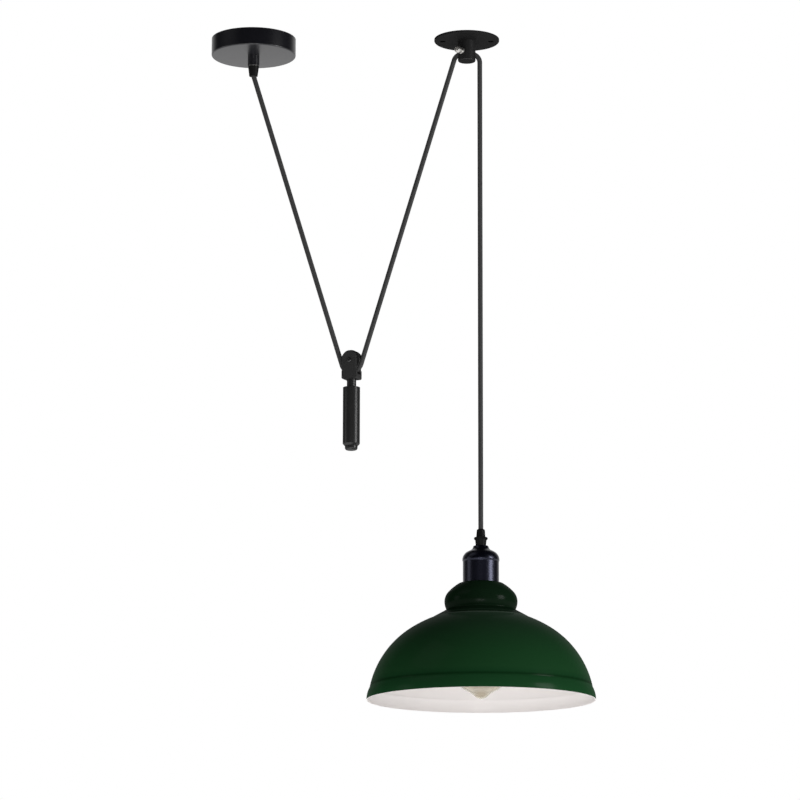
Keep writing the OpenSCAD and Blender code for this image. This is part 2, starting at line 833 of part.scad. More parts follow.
// Ceiling plate and boss, one casting
module ceiling_plate() {
    sink_h = (sink_d - hole_d) / 2;
    color(BLACK)
        difference() {
            union() {
                translate([span, 0, -plate_t])
                    rotate_extrude()
                        polygon([
                            [0, 0], [plate_d / 2 - plate_edge, 0], [plate_d / 2, plate_edge],
                            [plate_d / 2, plate_t], [0, plate_t]
                        ]);
                translate([span, 0, 0])
                    mirror([0, 0, 1])
                        rotate_extrude()
                            polygon(concat(
                                [[0, plate_t / 2], [boss_d / 2, plate_t / 2]],
                                [for (a = [0:arc_step * 2.5:90])
                                    [boss_d / 2, plate_t + boss_h]
                                        + boss_edge_r * [cos(a) - 1, sin(a) - 1]],
                                [[0, plate_t + boss_h]]
                            ));
            }
            for (s = [-1, 1])
                translate([span + s * hole_spacing / 2, 0, -plate_t]) {
                    translate([0, 0, -skin])
                        cylinder(d = hole_d, h = plate_t + 2 * skin);
                    translate([0, 0, -skin])
                        cylinder(d1 = sink_d + 2 * skin, d2 = hole_d, h = sink_h + skin);
                }
            boss_drop_bend(cord_d + 2 * cord_gap);
            boss_run(cord_d + 2 * cord_gap);
            boss_leg_bend(cord_d + 2 * cord_gap);
            at_clamp() {
                cylinder(d = clamp_d + 2 * fit, h = far);
                translate([0, 0, lock_seat])
                    cylinder(r = lock_af / 2 / cos(30) + spot_room, h = far);
            }
        }
}

module flex_in_boss() {
    color(BLACK) {
        boss_drop_bend(cord_d);
        boss_run(cord_d);
        boss_leg_bend(cord_d);
    }
}

module clamp_screw() {
    color(STEEL)
        at_clamp() {
            translate([0, 0, clamp_tip])
                cylinder(d = clamp_d, h = clamp_reach - clamp_tip);
            translate([0, 0, clamp_reach])
                cross_head(clamp_head_d, clamp_head_h, cross_w);
        }
}

module clamp_lock_nut() {
    color(STEEL)
        at_clamp()
            translate([0, 0, lock_seat + fit])
                hex_nut(lock_af, lock_h, clamp_d + 2 * fit);
}

// Counterweight
module pulley_block() {
    low_w = cheek_w + 2 * step_w;
    color(BLACK)
        at_pulley()
            difference() {
                translate([0, block_t / 2, 0])
                    rotate([90, 0, 0])
                        linear_extrude(block_t) {
                            translate([0, cheek_up])
                                circle(d = cheek_w);
                            translate([-cheek_w / 2, -step_down - block_corner_r])
                                square([cheek_w, step_down + block_corner_r + cheek_up]);
                            translate([-low_w / 2, -block_down])
                                rounded_rect(low_w, block_down - step_down, block_corner_r);
                        }
                translate([-far / 2, -slot_gap / 2, slot_floor])
                    cube([far, slot_gap, far]);
                translate([0, -far / 2, 0])
                    rotate([-90, 0, 0])
                        cylinder(d = axle_d + 2 * fit, h = far);
                translate([0, 0, -far])
                    cylinder(d = rod_d + 2 * fit, h = far + rod_top);
            }
}

module axle_screw() {
    color(BLACK)
        at_pulley()
            rotate([90, 0, 0]) {
                translate([0, 0, -block_t / 2])
                    cylinder(d = axle_d, h = block_t);
                translate([0, 0, block_t / 2])
                    cross_head(axle_head_d, axle_head_h, axle_cross_w);
            }
}

module pulley_wheel() {
    color(BLACK)
        at_pulley()
            rotate([90, 0, 0])
                rotate_extrude()
                    difference() {
                        translate([bush_d / 2, -pulley_t / 2])
                            square([(pulley_d - bush_d) / 2, pulley_t]);
                        translate([pitch_r, 0])
                            circle(r = cord_d / 2 + groove_gap);
                        for (s = [-1, 1])
                            translate([bush_d / 2 + ring_in, s * pulley_t / 2 - ring_deep])
                                square([ring_w, 2 * ring_deep]);
                    }
}

module pulley_bush() {
    color(BRASS)
        at_pulley()
            rotate([90, 0, 0])
                tube(bush_d, axle_d + 2 * fit, bush_room - slot_gap / 2, slot_gap / 2 - bush_room);
}

module weight_rod() {
    color(STEEL)
        at_pulley()
            translate([0, 0, end_z + end_floor])
                cylinder(d = rod_d, h = rod_top - end_z - end_floor);
}

module weight_sleeve() {
    color(BLACK)
        at_pulley()
            tube(sleeve_d, rod_d + 2 * fit, sleeve_z, -block_down);
}

module weight() {
    r = weight_d / 2;
    bore_r = rod_d / 2 + fit;
    color(BLACK)
        at_pulley()
            rotate_extrude()
                polygon([
                    [bore_r, sleeve_z], [r - weight_top_chamfer, sleeve_z],
                    [r, sleeve_z - weight_top_chamfer],
                    [r, weight_z + weight_chamfer], [r - weight_chamfer, weight_z], [bore_r, weight_z]
                ]);
}

module weight_end_nut() {
    color(BLACK)
        at_pulley()
            difference() {
                translate([0, 0, weight_z])
                    mirror([0, 0, 1])
                        rotate_extrude()
                            polygon(concat(
                                [[0, 0], [end_d / 2, 0]],
                                [for (a = [0:arc_step * 2.5:90])
                                    [end_d / 2, end_h] + end_edge_r * [cos(a) - 1, sin(a) - 1]],
                                [[0, end_h]]
                            ));
                translate([0, 0, end_z + end_floor])
                    cylinder(d = rod_d + 2 * fit, h = far);
            }
}

// Flex legs and the wrap under the pulley. The faces of the wrap and the bends end the legs.
module flex_rose_leg() {
    color(BLACK)
        difference() {
            strand(start_a, end_a, past = cord_d);
            at_pulley()
                rotate([0, -phi_a, 0])
                    translate([-pitch_r, 0, 0])
                        mirror([0, 0, 1])
                            end_cut();
        }
}

module flex_boss_leg() {
    color(BLACK)
        difference() {
            strand(start_b, end_b, before = cord_d, past = cord_d);
            at_pulley()
                rotate([0, phi_b, 0])
                    translate([pitch_r, 0, 0])
                        mirror([0, 0, 1])
                            end_cut();
            translate(start_b)
                rotate([0, angle_b, 0])
                    end_cut();
        }
}

module flex_wrap() {
    color(BLACK)
        at_pulley()
            flex_arc(cord_d, pitch_r, 180 + phi_a, 360 - phi_b);
}

module flex_drop() {
    color(BLACK)
        strand([lamp_x, 0, channel_z - turn_r], [lamp_x, 0, -drop]);
}

module flex_lamp_end() {
    color(BLACK)
        at_lamp()
            translate([0, 0, lamp_core_z])
                cylinder(d = cord_d, h = -lamp_core_z);
}

// Lamp's cord grip
module lamp_grip_dome() {
    bore_r = cord_d / 2;
    side_l = (lamp_grip_h - dome_edge_r * (1 - cos(dome_lean))) / sin(dome_lean);
    start_r = lamp_grip_d / 2 - dome_edge_r * sin(dome_lean) - side_l * cos(dome_lean);
    color(BLACK)
        at_lamp()
            rotate_extrude()
                polygon(concat(
                    [[bore_r, 0]],
                    outline([start_r, 0], 0, [["arc", dome_edge_r, dome_lean], ["line", side_l]]),
                    [[bore_r, -lamp_grip_h]]
                ));
}

module lamp_grip_body() {
    flange_r = flange_d / 2;
    color(BLACK)
        at_lamp()
            difference() {
                union() {
                    translate([0, 0, -lamp_grip_h - flange_h])
                        hex_nut(flange_d * cos(30), flange_h, cord_d + 2 * cord_gap);
                    translate([0, 0, foot_z])
                        cylinder(d1 = foot_d2, d2 = foot_d1, h = foot_h);
                }
                translate([0, 0, foot_z - skin])
                    cylinder(d = tube_d + 2 * fit, h = lamp_tube_top - foot_z + fit + skin);
                translate([0, 0, foot_z])
                    cylinder(d = cord_d + 2 * cord_gap, h = far);
            }
}

module lamp_tube() {
    color(BRASS)
        at_lamp()
            tube(tube_d, tube_bore, lamp_tube_low, lamp_tube_top);
}

module lamp_tube_nut() {
    color(BRASS)
        at_lamp()
            translate([0, 0, foot_z - cap_wall - tube_nut_h])
                hex_nut(tube_nut_af, tube_nut_h, tube_d + 2 * fit);
}

// Lampholder
module holder_cap() {
    out_r = cap_skirt_r + cap_bead;
    cone_l = (out_r - neck_r - neck_edge_r * sin(neck_angle)
        - flare_r * (sin(neck_angle) - sin(cone_angle))
        - cone_edge_r * (1 - sin(cone_angle))) / cos(cone_angle);
    step_r = cap_bead / 2 / (1 - cos(bead_angle));
    down = cap_h - neck_edge_r * (1 - cos(neck_angle))
        - flare_r * (cos(cone_angle) - cos(neck_angle)) - cone_l * sin(cone_angle)
        - cone_edge_r * cos(cone_angle) - 2 * step_r * sin(bead_angle);
    color(NAVY)
        at_lamp()
            turned_shell([tube_d / 2 + fit, foot_z], 0, [
                ["line", neck_r - tube_d / 2 - fit],
                ["arc", neck_edge_r, neck_angle],
                ["arc", flare_r, cone_angle],
                ["line", cone_l],
                ["arc", cone_edge_r, 90],
                ["arc", step_r, 90 + bead_angle],
                ["arc", step_r, 90],
                ["line", down]
            ], cap_wall);
}

// Porcelain insert: it fills the cap's skirt, and its sleeve goes down through the shade
module holder_insert() {
    body_r = cap_skirt_r - cap_wall - 2 * fit;
    color(WHITE)
        at_lamp()
            difference() {
                union() {
                    translate([0, 0, seat_z])
                        cylinder(r = body_r, h = insert_z - seat_z);
                    translate([0, 0, sleeve_low])
                        cylinder(d = holder_sleeve_d, h = holder_sleeve_l + skin);
                }
                translate([0, 0, sleeve_low - skin])
                    cylinder(d = shell_d + 2 * (shell_t + fit), h = shell_top - sleeve_low + skin);
                translate([0, 0, shell_top - skin])
                    cylinder(d = pocket_d, h = contact_z + pocket_up - shell_top + skin);
                translate([0, 0, contact_z])
                    cylinder(d = rivet_d + 2 * fit, h = far);
            }
}

module holder_shell() {
    r = shell_d / 2;
    low = sleeve_low + shell_up;
    color(BRASS)
        at_lamp()
            rotate_extrude()
                polygon([
                    [r, low], [r + shell_t, low], [r + shell_t, shell_top],
                    [shell_lip_r, shell_top], [shell_lip_r, shell_top - shell_t],
                    [r, shell_top - shell_t]
                ]);
}

module holder_contact() {
    color(BRASS)
        at_lamp() {
            translate([0, 0, contact_z + contact_gap])
                cylinder(d = contact_d, h = contact_t);
            translate([0, 0, contact_z + contact_t])
                cylinder(d = rivet_d, h = insert_z - contact_z - contact_t + skin);
            translate([0, 0, insert_z])
                cylinder(d = 2 * rivet_d, h = rivet_head_t);
        }
}

module holder_terminals() {
    color(BRASS)
        at_lamp()
            for (a = [0, 90, 180])
                rotate([0, 0, a])
                    difference() {
                        translate([terminal_r - terminal_size / 2, -terminal_size / 2, insert_z])
                            cube([terminal_size, terminal_size, terminal_up]);
                        translate([terminal_r - terminal_size, 0, insert_z + wire_up])
                            rotate([0, 90, 0])
                                cylinder(d = core_d + 2 * head_room, h = 2 * terminal_size);
                        translate([terminal_r, 0, insert_z + wire_up])
                            cylinder(d = set_screw_d + 2 * fit, h = far);
                    }
}

module holder_screws() {
    color(STEEL)
        at_lamp()
            for (a = [0, 90, 180])
                rotate([0, 0, a])
                    translate([terminal_r, 0, insert_z + wire_up + core_d / 2])
                        slotted_screw(terminal_up - wire_up - core_d / 2, holder_head_d, holder_head_h);
}

// A core leaves the end of the sheath and bends into the side of its terminal
module lamp_core(a, tint) {
    low = insert_z + wire_up;
    color(tint)
        at_lamp()
            rotate([0, 0, a])
                translate([lamp_core_r, 0, lamp_core_z])
                    rotate([180, 0, 0])
                        bent_rod(core_d, [
                            [lamp_core_z - low - core_bend_r], [core_bend_r, 90],
                            [terminal_r + 1 - lamp_core_r - core_bend_r]
                        ]);
}

module lamp_live_core() {
    lamp_core(180, [0.42, 0.24, 0.12]);
}

module lamp_neutral_core() {
    lamp_core(0, [0.15, 0.30, 0.62]);
}

module lamp_earth_core() {
    lamp_core(90, [0.35, 0.60, 0.20]);
}

// Spun shade. The moves run from the hole over the bulge, the waist and the dome to the rim.
module shade() {
    color(GREEN)
        at_lamp()
            turned_shell([shade_hole_r, seat_z], 0, shade_moves(), shade_wall);
}

// The arc on top of the bulge closes it on its diameter, and the dome's two arcs close the
// shade on its rim and height
function shade_moves() = let (
    seat_flat_r = cap_skirt_r + seat_flat,
    crown_r = (bulge_d / 2 - seat_flat_r - seat_bend_r * sin(seat_angle)
        - bulge_r * (1 - sin(crown_angle))) / (sin(crown_angle) - sin(seat_angle)),
    waist = [
        ["line", seat_flat_r - shade_hole_r], ["arc", seat_bend_r, seat_angle],
        ["arc", crown_r, crown_angle], ["arc", bulge_r, 90], ["arc", tuck_r, tuck_angle],
        ["arc", crease_r, slope_angle], ["line", slope_l], ["arc", ridge_r, ridge_angle],
        ["arc", dome_in_r, dome_angle]
    ],
    rim = [
        ["line", rim_ridge_l], ["arc", rim_ridge_r, rim_ridge_angle],
        ["arc", rim_crease_r, rim_crease_angle], ["arc", lip_r, 90]
    ],
    crown = last_of(outline([shade_hole_r, 0], 0, waist)),
    rim_in = last_of(outline([0, 0], dome_end_angle, rim)),
    gap = [shade_d / 2 - rim_in.x - crown.x, shade_h + rim_in.y + crown.y],
    dome = dome_radii(gap)
)
concat(waist, [["arc", dome[0], dome_mid_angle], ["arc", dome[1], dome_end_angle]], rim);

// Radii of the dome's two arcs, which together cover a gap
function dome_radii(gap) = let (
    a = sin(dome_mid_angle) - sin(dome_angle),
    b = sin(dome_end_angle) - sin(dome_mid_angle),
    c = cos(dome_angle) - cos(dome_mid_angle),
    d = cos(dome_mid_angle) - cos(dome_end_angle),
    det = a * d - b * c
)
[(gap.x * d - gap.y * b) / det, (gap.y * a - gap.x * c) / det];

// Ring nut under the shade, with finger grooves
module shade_ring() {
    top = seat_z - shade_wall;
    color(BLACK)
        at_lamp()
            difference() {
                translate([0, 0, top - ring_h])
                    cylinder(d = ring_d, h = ring_h);
                translate([0, 0, top - ring_h - skin])
                    cylinder(d = holder_sleeve_d + 2 * fit, h = ring_h + 2 * skin);
                for (a = [0:30:330])
                    rotate([0, 0, a])
                        translate([ring_d / 2 + ring_notch_out, 0, top - ring_h - skin])
                            cylinder(r = ring_notch_r, h = ring_h - ring_lip + skin);
            }
}

// Bulb
module bulb_glass() {
    color(AMBER)
        at_lamp()
            turned_shell([bulb_neck_r, bulb_neck_z], 90, bulb_moves(), glass_wall);
}

// The cone is the line that touches both the flare's arc and the arc round the widest part
function bulb_moves() = let (
    across = bulb_d / 2 - bulb_side_r,
    hollow = bulb_hollow_r * outward(bulb_side_angle) - bulb_hollow_r * outward(bulb_tip_angle),
    low = [across, 0] + bulb_side_r * outward(bulb_side_angle) + hollow,
    tip_r = low.x / sin(bulb_tip_angle),
    gap = [
        across - bulb_neck_r - bulb_flare_r,
        glass_l - bulb_neck_l + low.y - tip_r * (1 + cos(bulb_tip_angle))
    ],
    both_r = bulb_flare_r + bulb_side_r,
    slope = atan2(gap.y, gap.x) - asin(both_r / norm(gap))
)
[
    ["line", bulb_neck_l], ["arc", bulb_flare_r, slope],
    ["line", sqrt(gap * gap - both_r * both_r)], ["arc", bulb_side_r, bulb_side_angle],
    ["arc", bulb_hollow_r, bulb_tip_angle], ["arc", tip_r, 180]
];

module bulb_cap() {
    r = bulb_cap_d / 2;
    t = bulb_cap_t;
    flare_z = bulb_base_z + cap_flare_h;
    color(BRASS)
        at_lamp()
            rotate_extrude()
                polygon([
                    [r - t, bulb_base_z], [r + cap_flare, bulb_base_z], [r + cap_flare, flare_z],
                    [r, flare_z + 2 * cap_flare], [r, bulb_end_z - 1], [r - cap_edge, bulb_end_z],
                    [bulb_end_r, bulb_end_z], [bulb_end_r, bulb_end_z - t],
                    [r - cap_edge - t / 2, bulb_end_z - t], [r - t, bulb_end_z - 1 - t]
                ]);
}

module bulb_insulator() {
    button_z = contact_z - bulb_button_h;
    color(BLACK)
        at_lamp()
            rotate_extrude()
                polygon([
                    [0, bulb_end_z - bulb_cap_t], [bulb_end_r, bulb_end_z - bulb_cap_t],
                    [bulb_end_r, bulb_end_z], [bulb_button_d1 / 2 + 0.6, button_z], [0, button_z]
                ]);
}

module bulb_contact() {
    color(BRASS)
        at_lamp()
            translate([0, 0, contact_z - bulb_button_h])
                cylinder(d1 = bulb_button_d1, d2 = bulb_button_d2, h = bulb_button_h);
}

// Glass stem, with a flare in the bulb's neck and a thin rod that carries the filament
module bulb_stem() {
    color(AMBER)
        at_lamp()
            translate([0, 0, bulb_neck_z])
                mirror([0, 0, 1])
                    rotate_extrude()
                        polygon([
                            [0, 0], [bulb_neck_r - glass_wall, 0], [bulb_neck_r - glass_wall, 0.8],
                            [4, 4], [stem_r + 1.4, 6], [stem_r + 1, stem_l],
                            [stem_r, stem_l + 1.5], [stem_r, stem_l + stem_rod_l], [0, stem_l + stem_rod_l]
                        ]);
}

// Hairpins of filament between a ring of hooks at the top and a hub near the rod's end
module bulb_filament() {
    high = bulb_neck_z - stem_l - 2 * hub_t;
    low = high - filament_l;
    color(BRASS)
        at_lamp() {
            tube(2 * stem_r + 2, 2 * stem_r, low - hub_t / 2, low + hub_t / 2);
            tube(2 * stem_r + 2, 2 * stem_r, high - hub_t / 2, high + hub_t / 2);
            for (a = [0:45:315])
                rotate([0, 0, a]) {
                    translate([stem_r + 0.5, 0, high])
                        rotate([0, 90, 0])
                            cylinder(d = filament_d, h = filament_r - stem_r - 0.5);
                    translate([stem_r + 0.6, 0, low])
                        filament_wire([filament_r - stem_r - 0.9, 0, filament_l]);
                }
        }
}

module filament_wire(v) {
    rotate([0, atan(v.x / v.z), 0])
        cylinder(d = filament_d, h = norm(v));
}

rose_cover();
rose_strap();
rose_tube();
rose_tube_nut();
rose_collar();
rose_grip_washer();
rose_cord_grip();
terminal_block();
terminal_inserts();
terminal_screws();
earth_screw();
rose_live_core();
rose_neutral_core();
rose_earth_core();
flex_rose_end();
ceiling_plate();
flex_in_boss();
clamp_screw();
clamp_lock_nut();
pulley_block();
axle_screw();
pulley_wheel();
pulley_bush();
weight_rod();
weight_sleeve();
weight();
weight_end_nut();
flex_rose_leg();
flex_wrap();
flex_boss_leg();
flex_drop();
flex_lamp_end();
lamp_grip_dome();
lamp_grip_body();
lamp_tube();
lamp_tube_nut();
holder_cap();
holder_insert();
holder_shell();
holder_contact();
holder_terminals();
holder_screws();
lamp_live_core();
lamp_neutral_core();
lamp_earth_core();
shade();
shade_ring();
bulb_glass();
bulb_cap();
bulb_insulator();
bulb_contact();
bulb_stem();
bulb_filament();
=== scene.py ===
"""Looks of a rise and fall pendant lamp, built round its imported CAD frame.

Z is up and -Y is the front. Sizes are in millimetres and angles in degrees. Only the camera's
place, the lights and the floor are in metres.
"""

import math

import bmesh
import bpy
from mathutils import Matrix, Vector


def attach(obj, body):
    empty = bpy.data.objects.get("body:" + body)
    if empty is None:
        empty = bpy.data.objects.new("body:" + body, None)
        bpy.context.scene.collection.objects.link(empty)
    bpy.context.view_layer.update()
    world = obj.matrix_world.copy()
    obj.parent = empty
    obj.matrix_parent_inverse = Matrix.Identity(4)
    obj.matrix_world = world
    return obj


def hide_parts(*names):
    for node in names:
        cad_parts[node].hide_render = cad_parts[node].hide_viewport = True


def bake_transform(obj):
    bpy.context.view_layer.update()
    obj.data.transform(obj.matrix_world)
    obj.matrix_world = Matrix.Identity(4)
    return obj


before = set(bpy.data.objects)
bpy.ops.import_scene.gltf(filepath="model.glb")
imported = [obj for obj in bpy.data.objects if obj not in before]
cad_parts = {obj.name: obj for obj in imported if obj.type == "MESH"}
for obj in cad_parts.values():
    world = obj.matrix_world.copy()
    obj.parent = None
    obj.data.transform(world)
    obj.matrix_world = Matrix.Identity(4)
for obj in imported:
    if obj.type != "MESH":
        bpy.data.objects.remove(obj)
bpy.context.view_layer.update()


# ---------------------------------------------------------------- sizes shared with the CAD source

MM = 0.001                      # in metres
FIT = 0.05                      # side clearance between fitted pieces
SPAN = 279                      # between the centres of the rose and the plate
DROP = 650                      # ceiling to the top of the lamp's cord grip
TUBE_D = 9.6                    # threaded tubes

# Flex: its thickness, and the bends where it leaves the rose's grip and the boss
FLEX_D = 6.3
GRIP_BEND_R = 20
GRIP_BEND_Z = -46.1
TURN_R = 12
CHANNEL_L = 10                  # straight stretch in the boss
CHANNEL_Z = -19.5
TURN_X = SPAN - CHANNEL_L / 2
LAMP_X = SPAN + CHANNEL_L / 2 + TURN_R
SHEATH_TOP_Z = -5.4             # end of the sheath in the rose
SHEATH_LOW_Z = -676.2           # end of the sheath in the lampholder

# Ceiling rose and plate
ROSE_R = 55
ROSE_H = 23
ROSE_WALL = 1.2
ROSE_EDGE_R = 1.6
COLLAR_R = 7.6
COLLAR_H = 13.1
HOLE_SPACING = 63

# Pulley
AXLE = Vector((130.3, 0, -430.6))
YAW = 24                        # turn of the pulley block about the vertical
PITCH_R = 14.4                  # axle to the centre of the flex in the groove
PULLEY_R = 13.6
PULLEY_T = 9
GROOVE_GAP = 0.45               # side room of the flex in the groove
BUSH_R = 3.5
RELIEF_IN = 1.8                 # ring cut into the pulley's faces, from the bush outwards
RELIEF_W = 2.6
RELIEF_DEEP = 0.7

# Counterweight, with its heights measured from the axle
ROD_R = 4
SLEEVE_R = 6
SLEEVE_TOP = -24.3
WEIGHT_R = 11
WEIGHT_TOP = -34.8
WEIGHT_LOW = -111
WEIGHT_CHAMFER = 2.5
END_R = 8.15
END_LOW = -116.8
END_FLOOR = 1.6                 # thickness of the end nut under the rod
END_EDGE_R = 3

# Lamp, with its heights measured from the top of the cord grip
LAMP_TOP = (LAMP_X, 0, -DROP)
GRIP_DOME_R = 5.85
GRIP_DOME_H = 10.3
FOOT_Z = -21.3                  # foot of the cord grip, on the lampholder's cap
CAP_R = 23
CAP_H = 48.1
CAP_WALL = 0.8
CAP_BEAD = 0.65                 # how far the cap's bead stands out of its skirt
SEAT_Z = FOOT_Z - CAP_H
SHADE_HOLE_R = 20.2
SHADE_R = 145
SHADE_H = 149
SHADE_WALL = 1
BULGE_R = 46.4                  # greatest radius of the bulge on top of the shade
BULB_R = 31.8
BULB_NECK_R = 12.75
BULB_NECK_L = 4
BULB_NECK_Z = -101
GLASS_L = 116
GLASS_WALL = 0.8

ROOT, CLAMP_BODY, WEIGHT_BODY, PULLEY_BODY = "mounting", "clamp", "counterweight", "pulley"
LAMP_BODY, BULB_BODY = "lamp", "bulb"


# ---------------------------------------------------------------- camera

# Fitted to the photograph: in front of the object and below it, and looking up
CAMERA_PLACE = (0.24398, -4.5, -1.38754)
CAMERA_UP = 11.38
CAMERA_LENS = 160.88
CAMERA_SENSOR = 36
CAMERA_SHIFT = -0.05


def build_camera():
    camera = bpy.data.objects.new("camera", bpy.data.cameras.new("camera"))
    bpy.context.scene.collection.objects.link(camera)
    bpy.context.scene.camera = camera
    camera.location = CAMERA_PLACE
    camera.rotation_euler = (math.radians(90 + CAMERA_UP), 0, 0)
    camera.data.sensor_width = CAMERA_SENSOR
    camera.data.lens = CAMERA_LENS
    camera.data.shift_x = CAMERA_SHIFT


# ---------------------------------------------------------------- light and stage

LIT_PLACE = Vector((0.28, 0, -0.5))

# Name, place, width, height and watts
SOFT_BOXES = (
    ("key_right", (2.2, -0.85, -0.32), 0.7, 0.8, 25),
    ("fill_left", (-1.9, -0.3, -0.35), 0.7, 0.8, 3),
    ("front", (0.1, -3.9, -1.75), 1.8, 0.6, 36),
    ("upper_left", (-1.6, -0.6, 1.4), 1.6, 1.6, 5),
    ("bounce", (0.2, 0, -2.0), 3.0, 3.0, 27.7),
)

# The floor lies so low that a view from below still looks up at the lamp
FLOOR_PLACE = (0.2, 0, -3.8)
FLOOR_HALF = 60
FLOOR_GREY = 0.9
FLOOR_LIFT = 0.78

SHADER = "Principled BSDF"


def soft_box(name, place, width, height, watts):
    """A lamp that faces the middle of the object and isn't seen by the camera"""
    lamp = bpy.data.lights.new(name, "AREA")
    lamp.shape = "RECTANGLE"
    lamp.size = width
    lamp.size_y = height
    lamp.energy = watts
    holder = bpy.data.objects.new(name, lamp)
    bpy.context.scene.collection.objects.link(holder)
    holder.location = place
    holder.visible_camera = False
    holder.rotation_euler = (LIT_PLACE - Vector(place)).to_track_quat("-Z", "Y").to_euler()


def build_world():
    """White to the camera, through glass and in mirrors that look straight behind the object.
    Elsewhere a room: bright behind, dim in front."""
    world = bpy.data.worlds.new("studio")
    bpy.context.scene.world = world
    world.use_nodes = True
    nodes, links = world.node_tree.nodes, world.node_tree.links
    nodes.clear()
    out = nodes.new("ShaderNodeOutputWorld")
    backdrop = nodes.new("ShaderNodeBackground")
    path = nodes.new("ShaderNodeLightPath")
    place = nodes.new("ShaderNodeTexCoord")
    parts = nodes.new("ShaderNodeSeparateXYZ")
    links.new(place.outputs["Generated"], parts.inputs["Vector"])

    def fade(start, end, dim, bright):
        """From dim to bright as the ray's Y goes from start to end, where 1 is straight behind"""
        span = nodes.new("ShaderNodeMapRange")
        span.interpolation_type = "SMOOTHSTEP"
        span.inputs["From Min"].default_value = start
        span.inputs["From Max"].default_value = end
        span.inputs["To Min"].default_value = dim
        span.inputs["To Max"].default_value = bright
        links.new(parts.outputs["Y"], span.inputs["Value"])
        return span.outputs["Result"]

    def choose(ray, others, light=None):
        """One light for this kind of ray, white if none is given, and the other for the others"""
        mix = nodes.new("ShaderNodeMix")
        mix.inputs["B"].default_value = 1
        links.new(path.outputs[ray], mix.inputs["Factor"])
        links.new(others, mix.inputs["A"])
        if light is not None:
            links.new(light, mix.inputs["B"])
        return mix.outputs["Result"]

    room = fade(start=0, end=0.7, dim=0.04, bright=0.8)
    mirrored = fade(start=0.45, end=0.97, dim=0.015, bright=1)
    light = choose("Is Glossy Ray", room, mirrored)
    light = choose("Is Transmission Ray", light)
    light = choose("Is Camera Ray", light)
    backdrop.inputs["Color"].default_value = (1, 1, 1, 1)
    links.new(light, backdrop.inputs["Strength"])
    links.new(backdrop.outputs[0], out.inputs["Surface"])


def floor_paint():
    """Pale paint. To the camera, in mirrors and through glass it is lifted towards white."""
    paint = bpy.data.materials.new("floor")
    paint.use_nodes = True
    nodes, links = paint.node_tree.nodes, paint.node_tree.links
    shader = nodes[SHADER]
    shader.inputs["Base Color"].default_value = (FLOOR_GREY, FLOOR_GREY, FLOOR_GREY, 1)
    shader.inputs["Roughness"].default_value = 0.8
    shader.inputs["Emission Color"].default_value = (1, 1, 1, 1)
    path = nodes.new("ShaderNodeLightPath")
    seen = path.outputs["Is Camera Ray"]
    for ray in ("Is Glossy Ray", "Is Transmission Ray"):
        either = nodes.new("ShaderNodeMath")
        either.operation = "MAXIMUM"
        links.new(seen, either.inputs[0])
        links.new(path.outputs[ray], either.inputs[1])
        seen = either.outputs[0]
    lift = nodes.new("ShaderNodeMath")
    lift.operation = "MULTIPLY"
    lift.inputs[1].default_value = FLOOR_LIFT
    links.new(seen, lift.inputs[0])
    links.new(lift.outputs[0], shader.inputs["Emission Strength"])
    return paint


def build_floor():
    """A floor that keeps the lamp's shadow"""
    bm = bmesh.new()
    bmesh.ops.create_grid(bm, x_segments=1, y_segments=1, size=FLOOR_HALF)
    mesh = bpy.data.meshes.new("floor")
    bm.to_mesh(mesh)
    bm.free()
    mesh.materials.append(floor_paint())
    floor = bpy.data.objects.new("floor", mesh)
    bpy.context.scene.collection.objects.link(floor)
    floor.location = FLOOR_PLACE


# ---------------------------------------------------------------- outlines

def sin(degrees):
    return math.sin(math.radians(degrees))


def cos(degrees):
    return math.cos(math.radians(degrees))


def ahead(heading):
    return Vector((cos(heading), -sin(heading)))


def outward(heading):
    return Vector((sin(heading), cos(heading)))


def outline(start, heading, moves, inset=0):
    """Points of a profile made of ("line", length) and ("arc", radius, new heading) moves.
    A heading of 0 runs outwards and 90 down, with the outside on the left."""
    step = 2.5
    points = [Vector(start) - inset * outward(heading)]
    here = Vector(start)
    for move in moves:
        if move[0] == "line":
            here = here + move[1] * ahead(heading)
            points.append(here - inset * outward(heading))
            continue
        radius, new = move[1], move[2]
        side = 1 if new > heading else -1
        centre = here - side * radius * outward(heading)
        count = max(1, math.ceil(abs(new - heading) / step))
        for k in range(1, count + 1):
            facing = heading + (new - heading) * k / count
            points.append(centre + (side * radius - inset) * outward(facing))
        here = centre + side * radius * outward(new)
        heading = new
    return points


def shell(top, heading, moves, wall):
    """Outside points of a turned shell down to its edge, then its inside points back up"""
    outside = outline(top, heading, moves)
    inside = outline(top, heading, moves, inset=wall)
    return [(max(0, p[0]), p[1]) for p in outside], [(max(0, p[0]), p[1]) for p in inside[::-1]]


def arc(centre, radius, start, end, steps):
    """Points of an arc in a turned profile. Its angles run from outwards towards up."""
    angles = [start + (end - start) * k / steps for k in range(steps + 1)]
    return [(centre[0] + radius * cos(a), centre[1] + radius * sin(a)) for a in angles]


def rounding(centre, radius, start, end):
    """Corner arc of a turned profile"""
    step = 6
    return arc(centre, radius, start, end, max(2, round(abs(end - start) / step)))


# ---------------------------------------------------------------- meshes and pieces

def smooth(mesh, sharp_angle):
    mesh.shade_smooth()
    mesh.set_sharp_from_angle(angle=math.radians(sharp_angle))


def mesh_from(name, bm, sharp_angle):
    """The finished mesh of a bmesh, smooth except at its sharp edges"""
    bmesh.ops.recalc_face_normals(bm, faces=bm.faces)
    mesh = bpy.data.meshes.new(name)
    bm.to_mesh(mesh)
    bm.free()
    smooth(mesh, sharp_angle)
    return mesh


def add_piece(name, mesh, finishes, body, replaced):
    """A piece of the scene that replaces CAD nodes and rides a body, if it is given one"""
    piece = bpy.data.objects.new(name, mesh)
    bpy.context.scene.collection.objects.link(piece)
    for finish in finishes:
        mesh.materials.append(finish)
    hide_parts(*replaced)
    if body:
        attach(piece, body)
    return piece


